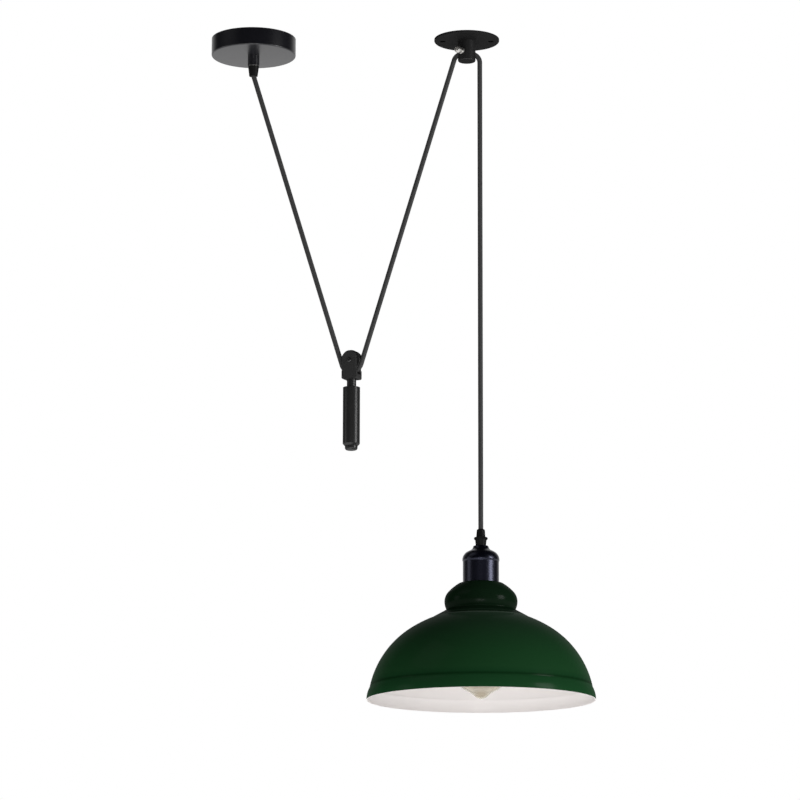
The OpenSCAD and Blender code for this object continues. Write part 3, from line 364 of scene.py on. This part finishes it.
def turned(name, profile, centre, segments, lining_from=None):
    """A closed profile of (radius, height) points, turned about the vertical through centre.
    Faces after the point lining_from take the second finish. A doubled point, where a flat
    meets a rounding, keeps the flat evenly shaded."""
    on_axis = 1e-6
    bm = bmesh.new()
    rings = []
    for r, z in profile:
        if r < on_axis:
            rings.append([bm.verts.new((0, 0, z * MM))])
            continue
        angles = [360 * k / segments for k in range(segments)]
        rings.append([bm.verts.new((r * cos(a) * MM, r * sin(a) * MM, z * MM)) for a in angles])
    for i, low in enumerate(rings):
        high = rings[(i + 1) % len(rings)]
        if len(low) == len(high) == 1:
            continue
        for k in range(segments):
            n = (k + 1) % segments
            corners = [low[k % len(low)], low[n % len(low)], high[n % len(high)], high[k % len(high)]]
            face = bm.faces.new(list(dict.fromkeys(corners)))
            face.material_index = int(lining_from is not None and i >= lining_from)
    mesh = mesh_from(name, bm, sharp_angle=32)
    mesh.transform(Matrix.Translation(Vector(centre) * MM))
    return mesh


def turned_piece(name, profile, finish, body, node, centre=(0, 0, 0), segments=96):
    mesh = turned(name, profile, centre, segments)
    add_piece(name, mesh, [finish], body, [node])


def weighted(mesh):
    """The mesh with normals that keep its large flats flat"""
    carrier = bpy.data.objects.new("carrier", mesh)
    bpy.context.scene.collection.objects.link(carrier)
    carrier.modifiers.new("weighted", "WEIGHTED_NORMAL").keep_sharp = True
    evaluated = carrier.evaluated_get(bpy.context.evaluated_depsgraph_get())
    made = bpy.data.meshes.new_from_object(evaluated)
    bpy.data.objects.remove(carrier)
    return made


def softened(node, edge, finishes, body, segments=3, hard_angle=30):
    """A copy of a CAD node with its hard edges rounded to a radius of edge mm"""
    same_point, same_plane = 1e-6, math.radians(0.5)
    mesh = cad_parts[node].data.copy()
    mesh.materials.clear()
    bm = bmesh.new()
    bm.from_mesh(mesh)
    bmesh.ops.remove_doubles(bm, verts=bm.verts, dist=same_point)
    bmesh.ops.dissolve_limit(bm, angle_limit=same_plane, verts=bm.verts, edges=bm.edges)
    inner = [e for e in bm.edges if len(e.link_faces) == 2]
    hard = [e for e in inner if e.calc_face_angle(0) > math.radians(hard_angle)]
    bmesh.ops.bevel(bm, geom=hard, offset=edge * MM, segments=segments, profile=0.5,
                    affect="EDGES", clamp_overlap=True)
    bm.to_mesh(mesh)
    bm.free()
    smooth(mesh, sharp_angle=40)
    return add_piece(node + "_skin", weighted(mesh), finishes, body, [node])


def swept(name, points, diameter, balls):
    """A round tube along points, whose rings turn with it, and balls that fill its joints"""
    sides = 48
    bm = bmesh.new()
    rings = []
    normal = None
    for i, p in enumerate(points):
        before = points[max(0, i - 1)]
        after = points[min(len(points) - 1, i + 1)]
        tangent = (after - before).normalized()
        if normal is None:
            normal = tangent.orthogonal().normalized()
        normal = (normal - tangent * normal.dot(tangent)).normalized()
        side = tangent.cross(normal)
        ring = []
        for k in range(sides):
            a = 360 * k / sides
            place = p + (normal * cos(a) + side * sin(a)) * diameter / 2
            ring.append(bm.verts.new(place * MM))
        rings.append(ring)
    for low, high in zip(rings, rings[1:]):
        for k in range(sides):
            n = (k + 1) % sides
            bm.faces.new((low[k], low[n], high[n], high[k]))
    bm.faces.new(rings[0])
    bm.faces.new(rings[-1])
    for ball in balls:
        bmesh.ops.create_uvsphere(bm, u_segments=sides, v_segments=sides // 2,
                                  radius=diameter / 2 * MM, matrix=Matrix.Translation(ball * MM))
    return mesh_from(name, bm, sharp_angle=50)


# ---------------------------------------------------------------- material helpers

LACQUER_UNEVEN = 0.06           # how far a lacquered paint strays from its colour and gloss


def material(name, colour, roughness, **sockets):
    made = bpy.data.materials.new(name)
    made.use_nodes = True
    shader = made.node_tree.nodes[SHADER]
    shader.inputs["Base Color"].default_value = (*colour, 1)
    shader.inputs["Roughness"].default_value = roughness
    for socket, value in sockets.items():
        shader.inputs[socket.replace("_", " ")].default_value = value
    return made


def noise(made, scale, detail):
    """Noise in the object's own metres, as a number from 0 to 1"""
    nodes, links = made.node_tree.nodes, made.node_tree.links
    place = nodes.new("ShaderNodeTexCoord")
    texture = nodes.new("ShaderNodeTexNoise")
    texture.inputs["Scale"].default_value = scale
    texture.inputs["Detail"].default_value = detail
    links.new(place.outputs["Object"], texture.inputs["Vector"])
    return texture.outputs["Fac"]


def cloud(made):
    """Soft noise a few centimetres across, for uneven paint"""
    return noise(made, scale=35, detail=5)


def spread(made, value, low, high, socket):
    """Carries a number from 0 to 1 over to a range and into a socket"""
    nodes, links = made.node_tree.nodes, made.node_tree.links
    span = nodes.new("ShaderNodeMapRange")
    span.inputs["To Min"].default_value = low
    span.inputs["To Max"].default_value = high
    links.new(value, span.inputs["Value"])
    links.new(span.outputs["Result"], nodes[SHADER].inputs[socket])


def ramp_colour(made, value, stops):
    """Base colour that follows a number through stops of (position, colour)"""
    nodes, links = made.node_tree.nodes, made.node_tree.links
    ramp = nodes.new("ShaderNodeValToRGB")
    elements = ramp.color_ramp.elements
    elements[0].position, elements[1].position = stops[0][0], stops[-1][0]
    elements[0].color, elements[1].color = (*stops[0][1], 1), (*stops[-1][1], 1)
    for position, colour in stops[1:-1]:
        elements.new(position).color = (*colour, 1)
    links.new(value, ramp.inputs["Fac"])
    links.new(ramp.outputs["Color"], nodes[SHADER].inputs["Base Color"])


def tint(made, value, colour, low, high):
    """Base colour between two shades of one colour"""
    darkest, lightest = tuple(c * low for c in colour), tuple(c * high for c in colour)
    ramp_colour(made, value, ((0.3, darkest), (0.7, lightest)))


def height_share(made, low, high):
    """Height on the object, as a number from 0 at low to 1 at high"""
    nodes, links = made.node_tree.nodes, made.node_tree.links
    place = nodes.new("ShaderNodeTexCoord")
    parts = nodes.new("ShaderNodeSeparateXYZ")
    span = nodes.new("ShaderNodeMapRange")
    span.inputs["From Min"].default_value = low * MM
    span.inputs["From Max"].default_value = high * MM
    links.new(place.outputs["Object"], parts.inputs["Vector"])
    links.new(parts.outputs["Z"], span.inputs["Value"])
    return span.outputs["Result"]


def bump(made, value, depth):
    """Relief of a depth in mm"""
    nodes, links = made.node_tree.nodes, made.node_tree.links
    relief = nodes.new("ShaderNodeBump")
    relief.inputs["Strength"].default_value = 1
    relief.inputs["Distance"].default_value = depth * MM
    links.new(value, relief.inputs["Height"])
    links.new(relief.outputs["Normal"], nodes[SHADER].inputs["Normal"])


def coated(name, colour, roughness, level=0.5, grain=900, depth=0.04, uneven=0.08, **sockets):
    """Paint, plastic or porcelain with a faint orange peel and uneven gloss"""
    made = material(name, colour, roughness, Specular_IOR_Level=level, **sockets)
    bump(made, noise(made, grain, detail=3), depth)
    patches = cloud(made)
    spread(made, patches, roughness * (1 - uneven), roughness * (1 + uneven), "Roughness")
    tint(made, patches, colour, 1 - uneven, 1 + uneven)
    return made


def lacquered(name, colour, roughness, gloss, ior):
    """Dull paint under a thin lacquer, and the patches that its colour can follow. The lacquer's
    weight holds back its mirror at grazing angles, so dark outlines stay dark."""
    made = material(name, colour, 0.6, Specular_IOR_Level=0.0, Coat_Weight=gloss, Coat_IOR=ior)
    bump(made, noise(made, scale=600, detail=3), 0.003)
    patches = cloud(made)
    low, high = roughness * (1 - LACQUER_UNEVEN), roughness * (1 + LACQUER_UNEVEN)
    spread(made, patches, low, high, "Coat Roughness")
    return made, patches


def dark(name, colour, roughness, gloss, ior=1.9):
    """Lacquered paint of one colour with uneven patches"""
    made, patches = lacquered(name, colour, roughness, gloss, ior)
    tint(made, patches, colour, 1 - LACQUER_UNEVEN, 1 + LACQUER_UNEVEN)
    return made


def black(name, level, roughness, gloss):
    return dark(name, (level, level, level), roughness, gloss)


def metal(name, colour, roughness):
    made = material(name, colour, roughness, Metallic=1.0)
    grain = noise(made, scale=700, detail=6)
    bump(made, grain, 0.02)
    spread(made, grain, roughness - 0.08, roughness + 0.12, "Roughness")
    tint(made, noise(made, scale=120, detail=5), colour, 0.85, 1)
    return made


def glass(name, colour):
    roughness = 0.02
    made = material(name, colour, roughness, Transmission_Weight=1.0, IOR=1.45)
    spread(made, noise(made, scale=60, detail=4), roughness, roughness + 0.03, "Roughness")
    return made


# ---------------------------------------------------------------- materials

# Each dark paint has its colour or grey, its roughness and the weight of its lacquer
SATIN_BLACK = dark("satin_black_paint", (0.0055, 0.0055, 0.0082), 0.3, 0.85, ior=1.5)
PLATE_BLACK = black("plate_black_paint", 0.016, 0.45, 0.04)
# Near black for the walls of the plate's screw holes: painted shade in the holes
HOLE_PAINTED_SHADE = black("hole_painted_shade", 0.002, 0.6, 0.01)
# A lighter, glossier copy of the plate's paint for the side of its boss: painted light that the boss
# catches
BOSS_LIT_COPY = black("boss_lit_copy_paint", 0.017, 0.36, 0.17)
BLOCK_BLACK = black("block_black_paint", 0.042, 0.42, 0.08)
WEIGHT_BLACK = black("weight_black_paint", 0.019, 0.32, 0.24)
WHEEL_BLACK = black("wheel_black_nylon", 0.025, 0.3, 0.4)
PLASTIC_BLACK = black("black_plastic", 0.0075, 0.45, 0.08)
SCREW_BLACK = black("screw_black", 0.012, 0.3, 0.4)
FLEX_BLACK = black("flex_sheath", 0.064, 0.5, 0.06)

# The others have their colour and roughness
NAVY = coated("navy_paint", (0.0009, 0.0009, 0.003), 0.31, level=0.44, grain=400, depth=0.002,
              Specular_Tint=(0.68, 0.71, 1, 1))
WHITE = coated("white_enamel", (0.86, 0.825, 0.81), 0.3, level=0.3, grain=60, depth=0.01, uneven=0.01)
PORCELAIN = coated("porcelain", (0.82, 0.8, 0.75), 0.2, grain=500, depth=0.02)
CASING_WHITE = coated("white_plastic", (0.78, 0.77, 0.72), 0.4, depth=0.03)
BROWN_CORE = coated("brown_core", (0.12, 0.05, 0.02), 0.4)
BLUE_CORE = coated("blue_core", (0.02, 0.07, 0.35), 0.4)
EARTH_CORE = coated("earth_core", (0.2, 0.42, 0.03), 0.4)
STEEL = metal("zinc_steel", (0.5, 0.49, 0.47), 0.36)
BRASS = metal("brass", (0.72, 0.52, 0.22), 0.34)
NICKEL = metal("nickel", (0.7, 0.68, 0.63), 0.25)
FILAMENT = metal("filament", (0.55, 0.28, 0.1), 0.4)
BULB_GLASS = glass("bulb_glass", (0.66, 0.62, 0.525))
STEM_GLASS = glass("stem_glass", (0.92, 0.95, 0.92))

# Green by height, from 0 at the shade's rim to 1 at its top, with painted shade and painted highlights
# in it
GREEN_WITH_PAINTED_LIGHT_STOPS = (
    # rim band, and a dark line of painted shade in the crease above it
    (0.1, (0.011, 0.056, 0.0185)),
    (0.12, (0.004, 0.026, 0.0072)),
    (0.14, (0.009, 0.047, 0.0155)),
    # dome, darker towards its top: painted shade
    (0.18, (0.0118, 0.054, 0.0178)),
    (0.3, (0.0112, 0.052, 0.0170)),
    (0.45, (0.0110, 0.044, 0.0160)),
    (0.6, (0.0118, 0.035, 0.0160)),
    # ridge, with a painted highlight line on its crest that fades down the dome
    (0.654, (0.0155, 0.038, 0.0195)),
    (0.684, (0.0220, 0.045, 0.0270)),
    (0.698, (0.0320, 0.056, 0.0360)),
    (0.703, (0.0700, 0.100, 0.0750)),
    # waist, darkened with painted shade, with one painted highlight line
    (0.709, (0.0060, 0.017, 0.0080)),
    (0.727, (0.0065, 0.018, 0.0085)),
    (0.7305, (0.0200, 0.036, 0.0235)),
    (0.734, (0.0060, 0.017, 0.0080)),
    # bulge, darkened with painted shade
    (0.765, (0.0045, 0.014, 0.0060)),
    (0.8, (0.0060, 0.0175, 0.0076)),
)


def green_enamel():
    made = lacquered("green_enamel", (0.0072, 0.040, 0.0135), 0.2, 0.055, ior=1.5)[0]
    shade_top = SEAT_Z - DROP
    # The green follows the height ramp, with painted shade and painted highlights in it
    ramp_colour(made, height_share(made, shade_top - SHADE_H, shade_top), GREEN_WITH_PAINTED_LIGHT_STOPS)
    return made


GREEN = green_enamel()


# ---------------------------------------------------------------- CAD nodes that stay in view

def dress(finish, *nodes):
    for node in nodes:
        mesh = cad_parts[node].data
        mesh.materials.clear()
        mesh.materials.append(finish)


dress(STEEL, "rose_strap", "rose_grip_washer", "terminal_screws", "earth_screw", "clamp_lock_nut",
      "weight_rod", "holder_screws", "bulb_contact")
dress(BRASS, "rose_tube", "rose_tube_nut", "terminal_inserts", "pulley_bush", "lamp_tube",
      "lamp_tube_nut", "holder_contact", "holder_terminals")
dress(NICKEL, "holder_shell", "bulb_cap")
dress(PLASTIC_BLACK, "rose_cord_grip", "shade_ring", "bulb_insulator")
dress(PORCELAIN, "holder_insert")
dress(CASING_WHITE, "terminal_block")
dress(BROWN_CORE, "rose_live_core", "lamp_live_core")
dress(BLUE_CORE, "rose_neutral_core", "lamp_neutral_core")
dress(EARTH_CORE, "rose_earth_core", "lamp_earth_core")
dress(STEM_GLASS, "bulb_stem")
dress(FILAMENT, "bulb_filament")


# ---------------------------------------------------------------- flex

UP, RIGHT = Vector((0, 0, 1)), Vector((1, 0, 0))
WHEEL_SIDE = Vector((cos(YAW), -sin(YAW), 0))


def bend(centre, across, radius, start, end):
    """Points of an upright arc, from start to end degrees off the across direction towards up"""
    step = 3
    count = max(2, math.ceil(abs(end - start) / step))
    angles = [start + (end - start) * k / count for k in range(count + 1)]
    return [Vector(centre) + radius * (cos(a) * across + sin(a) * UP) for a in angles]


def straight(start, end, gap=12):
    """Points from start to end, without the first, about a gap apart"""
    count = max(2, math.ceil((end - start).length / gap))
    return [start.lerp(end, k / count) for k in range(1, count + 1)]


def run(start, end):
    return [start] + straight(start, end)


def length_of(points):
    return sum((b - a).length for a, b in zip(points, points[1:]))


def off_wheel(side, across, rise):
    """Where a leg that goes across and up leaves the groove, on the left (-1) or the right (1):
    its degrees below the axle's level, and its point"""
    below = math.degrees(math.atan(across / rise * cos(YAW)))
    return below, AXLE + PITCH_R * (side * cos(below) * WHEEL_SIDE - sin(below) * UP)


def lean(across, down, radius, side):
    """Degrees off the vertical of a line that ends across and down from an arc's centre, and
    touches the arc on one side"""
    return math.degrees(math.atan2(across, down) + side * math.asin(radius / math.hypot(across, down)))


def flex_piece(name, points, body, node, balls=()):
    mesh = swept(name, points, FLEX_D, balls)
    return add_piece(name, mesh, [FLEX_BLACK], body, [node])


def free_flex(name, points, node):
    """A taut stretch of flex between a fixed end and a moving body, baked in place as a piece that rides
    no body
    """
    piece = flex_piece(name, points, None, node)
    start, end = points[0] * MM, points[-1] * MM
    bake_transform(piece)
    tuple(start)
    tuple(end)
    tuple(start)
    length_of(points) * MM


def build_flex():
    """One cord in seven stretches, from the end of its sheath in the rose to that in the lamp"""
    # The rose leg leaves the grip's bend in an upright plane of its own
    groove_x = PITCH_R * cos(YAW)
    below_left, left = off_wheel(-1, AXLE.x - groove_x, GRIP_BEND_Z - AXLE.z)
    plane = Vector((left.x, left.y, 0)).normalized()
    rose_lean = lean(math.hypot(left.x, left.y) - GRIP_BEND_R, GRIP_BEND_Z - left.z, GRIP_BEND_R, 1)
    grip_bend = bend(GRIP_BEND_R * plane + GRIP_BEND_Z * UP, plane, GRIP_BEND_R, 180, 180 + rose_lean)

    # The boss leg ends in a bend at one side of the boss, and the drop starts in one at the other
    turn_z = CHANNEL_Z - TURN_R
    below_right, right = off_wheel(1, TURN_X - TURN_R - AXLE.x - groove_x, turn_z - AXLE.z)
    boss_lean = lean(TURN_X - right.x, turn_z - right.z, TURN_R, -1)
    leg_bend = bend((TURN_X, 0, turn_z), RIGHT, TURN_R, 180 - boss_lean, 90)
    drop_bend = bend((LAMP_X - TURN_R, 0, turn_z), RIGHT, TURN_R, 90, 0)
    grip_top = Vector(LAMP_TOP)

    sheath_top = Vector((0, 0, SHEATH_TOP_Z))
    flex_piece("flex_at_rose", run(sheath_top, grip_bend[0]) + grip_bend[1:], ROOT, "flex_rose_end")
    free_flex("flex_to_pulley", run(grip_bend[-1], left), "flex_rose_leg")
    wrap = bend(AXLE, WHEEL_SIDE, PITCH_R, 180 + below_left, 360 - below_right)
    flex_piece("flex_round_pulley", wrap, WEIGHT_BODY, "flex_wrap", (wrap[0], wrap[-1]))
    free_flex("flex_to_boss", run(leg_bend[0], right), "flex_boss_leg")
    in_boss = leg_bend + straight(leg_bend[-1], drop_bend[0], gap=4) + drop_bend[1:]
    flex_piece("flex_through_boss", in_boss, ROOT, "flex_in_boss")
    free_flex("flex_to_lamp", run(drop_bend[-1], grip_top), "flex_drop")
    sheath_low = Vector((LAMP_X, 0, SHEATH_LOW_Z))
    flex_piece("flex_at_lamp", run(grip_top, sheath_low), LAMP_BODY, "flex_lamp_end")


# ---------------------------------------------------------------- ceiling rose and plate

def build_rose():
    bore_r, floor_z = TUBE_D / 2 + FIT, ROSE_WALL - ROSE_H
    corner = (ROSE_R - ROSE_EDGE_R, ROSE_EDGE_R - ROSE_H)
    flat_end = 0.7              # the floor's flat, short of the rounding
    cover = [(bore_r, floor_z), (corner[0] - flat_end, floor_z)]
    cover += rounding(corner, ROSE_EDGE_R - ROSE_WALL, -90, 0)
    cover += [(ROSE_R - ROSE_WALL, 0), (ROSE_R, 0)] + rounding(corner, ROSE_EDGE_R, 0, -90)
    cover += [(bore_r, -ROSE_H)]
    turned_piece("rose_cover_painted", cover, SATIN_BLACK, ROOT, "rose_cover",
                 segments=192)
    edge_r, collar_low = 0.3, -ROSE_H - COLLAR_H
    collar = [(bore_r, -ROSE_H), (COLLAR_R, -ROSE_H), (COLLAR_R, collar_low + edge_r)]
    collar += rounding((COLLAR_R - edge_r, collar_low + edge_r), edge_r, 0, -90)
    collar += [(bore_r, collar_low)]
    turned_piece("rose_collar_painted", collar, SATIN_BLACK, ROOT, "rose_collar")


def build_plate():
    """The plate's flats and the underside of its boss keep the plate's paint, the side of its boss takes
    a lighter, glossier copy of it that stands in for the light it catches, and the walls of its screw
    holes a near-black painted shade"""
    plate = softened("ceiling_plate", 0.3, [PLATE_BLACK, BOSS_LIT_COPY, HOLE_PAINTED_SHADE], ROOT,
                     segments=2)
    boss_lit_copy_slot, hole_painted_shade_slot = 1, 2
    boss_r, boss_top, hole_r = 12, -3.2, 3.9
    underside = -0.8            # faces whose normal points further down than this are undersides, which keep the darker plate paint as painted shade
    level = 0.9                 # faces whose normal points further up or down are flats
    for face in plate.data.polygons:
        middle = face.center / MM
        from_boss = math.hypot(middle.x - SPAN, middle.y)
        from_hole = math.hypot(abs(middle.x - SPAN) - HOLE_SPACING / 2, middle.y)
        # The boss's side takes the lit copy of the plate's paint
        if from_boss < boss_r and middle.z < boss_top and face.normal.z > underside:
            face.material_index = boss_lit_copy_slot
        # The hole walls take the near-black painted shade
        elif from_hole < hole_r and middle.z < 0 and abs(face.normal.z) < level:
            face.material_index = hole_painted_shade_slot


# ---------------------------------------------------------------- counterweight

def weight_piece(name, profile, node, segments=96):
    """A turned piece on the counterweight's own axis"""
    turned_piece(name, profile, WEIGHT_BLACK, WEIGHT_BODY, node, AXLE, segments)


def build_counterweight():
    bore_r = ROD_R + FIT
    sleeve = [(bore_r, SLEEVE_TOP), (SLEEVE_R, SLEEVE_TOP), (SLEEVE_R, WEIGHT_TOP), (bore_r, WEIGHT_TOP)]
    weight_piece("sleeve_painted", sleeve, "weight_sleeve")

    edge_r = 0.3
    past = 0.1                  # centres of the roundings, past the ends of the chamfer
    wall_r, chamfer_r = WEIGHT_R - edge_r, WEIGHT_R - WEIGHT_CHAMFER + past
    body = [(bore_r, WEIGHT_TOP), (wall_r, WEIGHT_TOP)]
    body += rounding((wall_r, WEIGHT_TOP - edge_r), edge_r, 90, 0)
    body += rounding((wall_r, WEIGHT_LOW + WEIGHT_CHAMFER + past), edge_r, 0, -45)
    body += rounding((chamfer_r, WEIGHT_LOW + edge_r), edge_r, -45, -90)
    weight_piece("weight_painted", body + [(bore_r, WEIGHT_LOW)], "weight", segments=128)

    top_edge_r = 0.2
    nut_r, nut_floor = END_R - top_edge_r, END_LOW + END_FLOOR
    nut = [(0, nut_floor), (bore_r, nut_floor), (bore_r, WEIGHT_LOW), (nut_r, WEIGHT_LOW)]
    nut += rounding((nut_r, WEIGHT_LOW - top_edge_r), top_edge_r, 90, 0)
    nut += rounding((END_R - END_EDGE_R, END_LOW + END_EDGE_R), END_EDGE_R, 0, -90)
    weight_piece("end_nut_painted", nut + [(0, END_LOW)], "weight_end_nut")

    softened("pulley_block", 0.35, [BLOCK_BLACK], WEIGHT_BODY)
    softened("axle_screw", 0.06, [SCREW_BLACK], WEIGHT_BODY, segments=1,
             hard_angle=60)


def build_wheel():
    """The grooved wheel, turned upright and then laid on its side in the block's slot"""
    half, edge_r = PULLEY_T / 2, 0.3
    lip_in, lip_out = 0.25, 0.2     # the eased lip of the groove
    groove_r = FLEX_D / 2 + GROOVE_GAP
    lip_angle = math.degrees(math.asin((PITCH_R - PULLEY_R + lip_in) / groove_r))
    relief_r, relief_end = BUSH_R + RELIEF_IN, BUSH_R + RELIEF_IN + RELIEF_W
    lower = [(BUSH_R, -half), (relief_r, -half), (relief_r, RELIEF_DEEP - half),
             (relief_end, RELIEF_DEEP - half), (relief_end, -half)]
    lower += rounding((PULLEY_R - edge_r, edge_r - half), edge_r, -90, 0)
    lower += [(PULLEY_R, -groove_r * cos(lip_angle) - lip_out)]
    groove = arc((PITCH_R, 0), groove_r, 270 - lip_angle, 90 + lip_angle, steps=24)
    upper = [(r, -z) for r, z in reversed(lower)]
    mesh = turned("wheel_moulded", lower + groove + upper, (0, 0, 0), segments=96)
    on_its_side = Matrix.Rotation(math.radians(-YAW), 4, "Z") @ Matrix.Rotation(math.radians(90), 4, "X")
    mesh.transform(Matrix.Translation(AXLE * MM) @ on_its_side)
    add_piece("wheel_moulded", mesh, [WHEEL_BLACK], PULLEY_BODY, ["pulley_wheel"])


# ---------------------------------------------------------------- lamp

def build_grip_dome():
    bore_r = FLEX_D / 2
    edge_r, side_heading = 1.7, 86
    side_l = (GRIP_DOME_H - edge_r * (1 - cos(side_heading))) / sin(side_heading)
    top_r = GRIP_DOME_R - edge_r * sin(side_heading) - side_l * cos(side_heading)
    points = outline((top_r, 0), 0, [("arc", edge_r, side_heading), ("line", side_l)])
    profile = [(bore_r, 0)] + [tuple(p) for p in points] + [(bore_r, -GRIP_DOME_H)]
    turned_piece("grip_dome_moulded", profile, PLASTIC_BLACK, LAMP_BODY,
                 "lamp_grip_dome", LAMP_TOP)


def bulb_moves():
    """Moves of the bulb's outline. The cone touches the flare's arc and the widest part's."""
    flare_r, side_r, hollow_r = 20, 22, 30
    side_heading, hollow_heading = 158, 135
    across, both_r = BULB_R - side_r, flare_r + side_r
    low = Vector((across, 0)) + side_r * outward(side_heading)
    low += hollow_r * (outward(side_heading) - outward(hollow_heading))
    tip_r = low.x / sin(hollow_heading)
    fall = GLASS_L - BULB_NECK_L + low.y - tip_r * (1 + cos(hollow_heading))
    gap = Vector((across - BULB_NECK_R - flare_r, fall))
    slope = math.degrees(math.atan2(gap.y, gap.x) - math.asin(both_r / gap.length))
    return [
        ("line", BULB_NECK_L), ("arc", flare_r, slope),
        ("line", math.sqrt(gap.length_squared - both_r ** 2)), ("arc", side_r, side_heading),
        ("arc", hollow_r, hollow_heading), ("arc", tip_r, 180),
    ]


def build_bulb():
    outside, inside = shell((BULB_NECK_R, BULB_NECK_Z), 90, bulb_moves(), GLASS_WALL)
    outside[-1], inside[0] = (0, outside[-1][1]), (0, inside[0][1])
    turned_piece("bulb_blown", outside + inside, BULB_GLASS, BULB_BODY, "bulb_glass",
                 LAMP_TOP, segments=128)


def dome_radii(across, down, start, middle, end):
    """Radii of two arcs that together go across and down, and turn from start by middle to end"""
    a, b = sin(middle) - sin(start), sin(end) - sin(middle)
    c, d = cos(start) - cos(middle), cos(middle) - cos(end)
    size = a * d - b * c
    return (across * d - down * b) / size, (down * a - across * c) / size


def shade_moves():
    """Moves of the shade's outline. The arc on top of the bulge closes it on its width, and the
    dome's two arcs close the shade on its width and height."""
    seat_flat_r = CAP_R + 2.3
    seat_bend_r, seat_heading = 7, 32
    crown_heading, bulge_bend_r = 47, 18
    waist_r, waist_heading, waist_edge_r = 21, 116, 1.6
    slope_heading, slope_l = 29, 17.4
    ridge_r, ridge_heading, ridge_foot_r = 4, 44, 3
    dome_start, dome_middle, dome_end = 21, 33, 76.5
    rim_ridge_l, rim_ridge_r, rim_ridge_heading = 2.4, 3, 88
    rim_crease_r, rim_crease_heading, lip_r = 3.5, 62, 33
    crown_across = BULGE_R - seat_flat_r - seat_bend_r * sin(seat_heading)
    crown_across -= bulge_bend_r * (1 - sin(crown_heading))
    crown_r = crown_across / (sin(crown_heading) - sin(seat_heading))
    to_dome = [
        ("line", seat_flat_r - SHADE_HOLE_R), ("arc", seat_bend_r, seat_heading),
        ("arc", crown_r, crown_heading), ("arc", bulge_bend_r, 90),
        ("arc", waist_r, waist_heading), ("arc", waist_edge_r, slope_heading), ("line", slope_l),
        ("arc", ridge_r, ridge_heading), ("arc", ridge_foot_r, dome_start),
    ]
    rim = [
        ("line", rim_ridge_l), ("arc", rim_ridge_r, rim_ridge_heading),
        ("arc", rim_crease_r, rim_crease_heading), ("arc", lip_r, 90),
    ]
    dome_top = outline((SHADE_HOLE_R, 0), 0, to_dome)[-1]
    rim_end = outline((0, 0), dome_end, rim)[-1]
    across = SHADE_R - rim_end.x - dome_top.x
    down = SHADE_H + rim_end.y + dome_top.y
    first, second = dome_radii(across, down, dome_start, dome_middle, dome_end)
    return to_dome + [("arc", first, dome_middle), ("arc", second, dome_end)] + rim


def build_shade():
    outside, inside = shell((SHADE_HOLE_R, SEAT_Z), 0, shade_moves(), SHADE_WALL)
    mesh = turned("shade_enamelled", outside + inside, LAMP_TOP, segments=256,
                  lining_from=len(outside) - 1)
    add_piece("shade_enamelled", mesh, [GREEN, WHITE], LAMP_BODY, ["shade"])


def cap_moves(bore_r):
    """Moves of the outline of the lampholder's cap. The cone closes it on its bead's width, and
    the skirt on its height."""
    neck_r, neck_edge_r, neck_heading = 8.3, 1.6, 78
    flare_r, cone_heading, cone_edge_r, bead_turn = 6.5, 27, 12, 25
    cone_across = CAP_R + CAP_BEAD - neck_r - neck_edge_r * sin(neck_heading)
    cone_across -= flare_r * (sin(neck_heading) - sin(cone_heading))
    cone_across -= cone_edge_r * (1 - sin(cone_heading))
    cone_l = cone_across / cos(cone_heading)
    step_r = CAP_BEAD / 2 / (1 - cos(bead_turn))
    skirt_l = CAP_H - neck_edge_r * (1 - cos(neck_heading))
    skirt_l -= flare_r * (cos(cone_heading) - cos(neck_heading)) + cone_l * sin(cone_heading)
    skirt_l -= cone_edge_r * cos(cone_heading) + 2 * step_r * sin(bead_turn)
    return [
        ("line", neck_r - bore_r), ("arc", neck_edge_r, neck_heading), ("arc", flare_r, cone_heading),
        ("line", cone_l), ("arc", cone_edge_r, 90), ("arc", step_r, 90 + bead_turn),
        ("arc", step_r, 90), ("line", skirt_l),
    ]


def build_holder_cap():
    bore_r = TUBE_D / 2 + FIT
    outside, inside = shell((bore_r, FOOT_Z), 0, cap_moves(bore_r), CAP_WALL)
    turned_piece("holder_cap_painted", outside + inside, NAVY, LAMP_BODY,
                 "holder_cap", LAMP_TOP, segments=128)


# ---------------------------------------------------------------- the scene

bpy.context.scene.view_settings.view_transform = "Standard"
build_camera()
for box in SOFT_BOXES:
    soft_box(*box)
build_world()
build_floor()
build_flex()
build_rose()
build_plate()
softened("clamp_screw", 0.2, [STEEL], CLAMP_BODY, segments=2)
build_counterweight()
build_wheel()
softened("lamp_grip_body", 0.3, [PLASTIC_BLACK], LAMP_BODY, segments=2)
build_grip_dome()
build_bulb()
build_shade()
build_holder_cap()
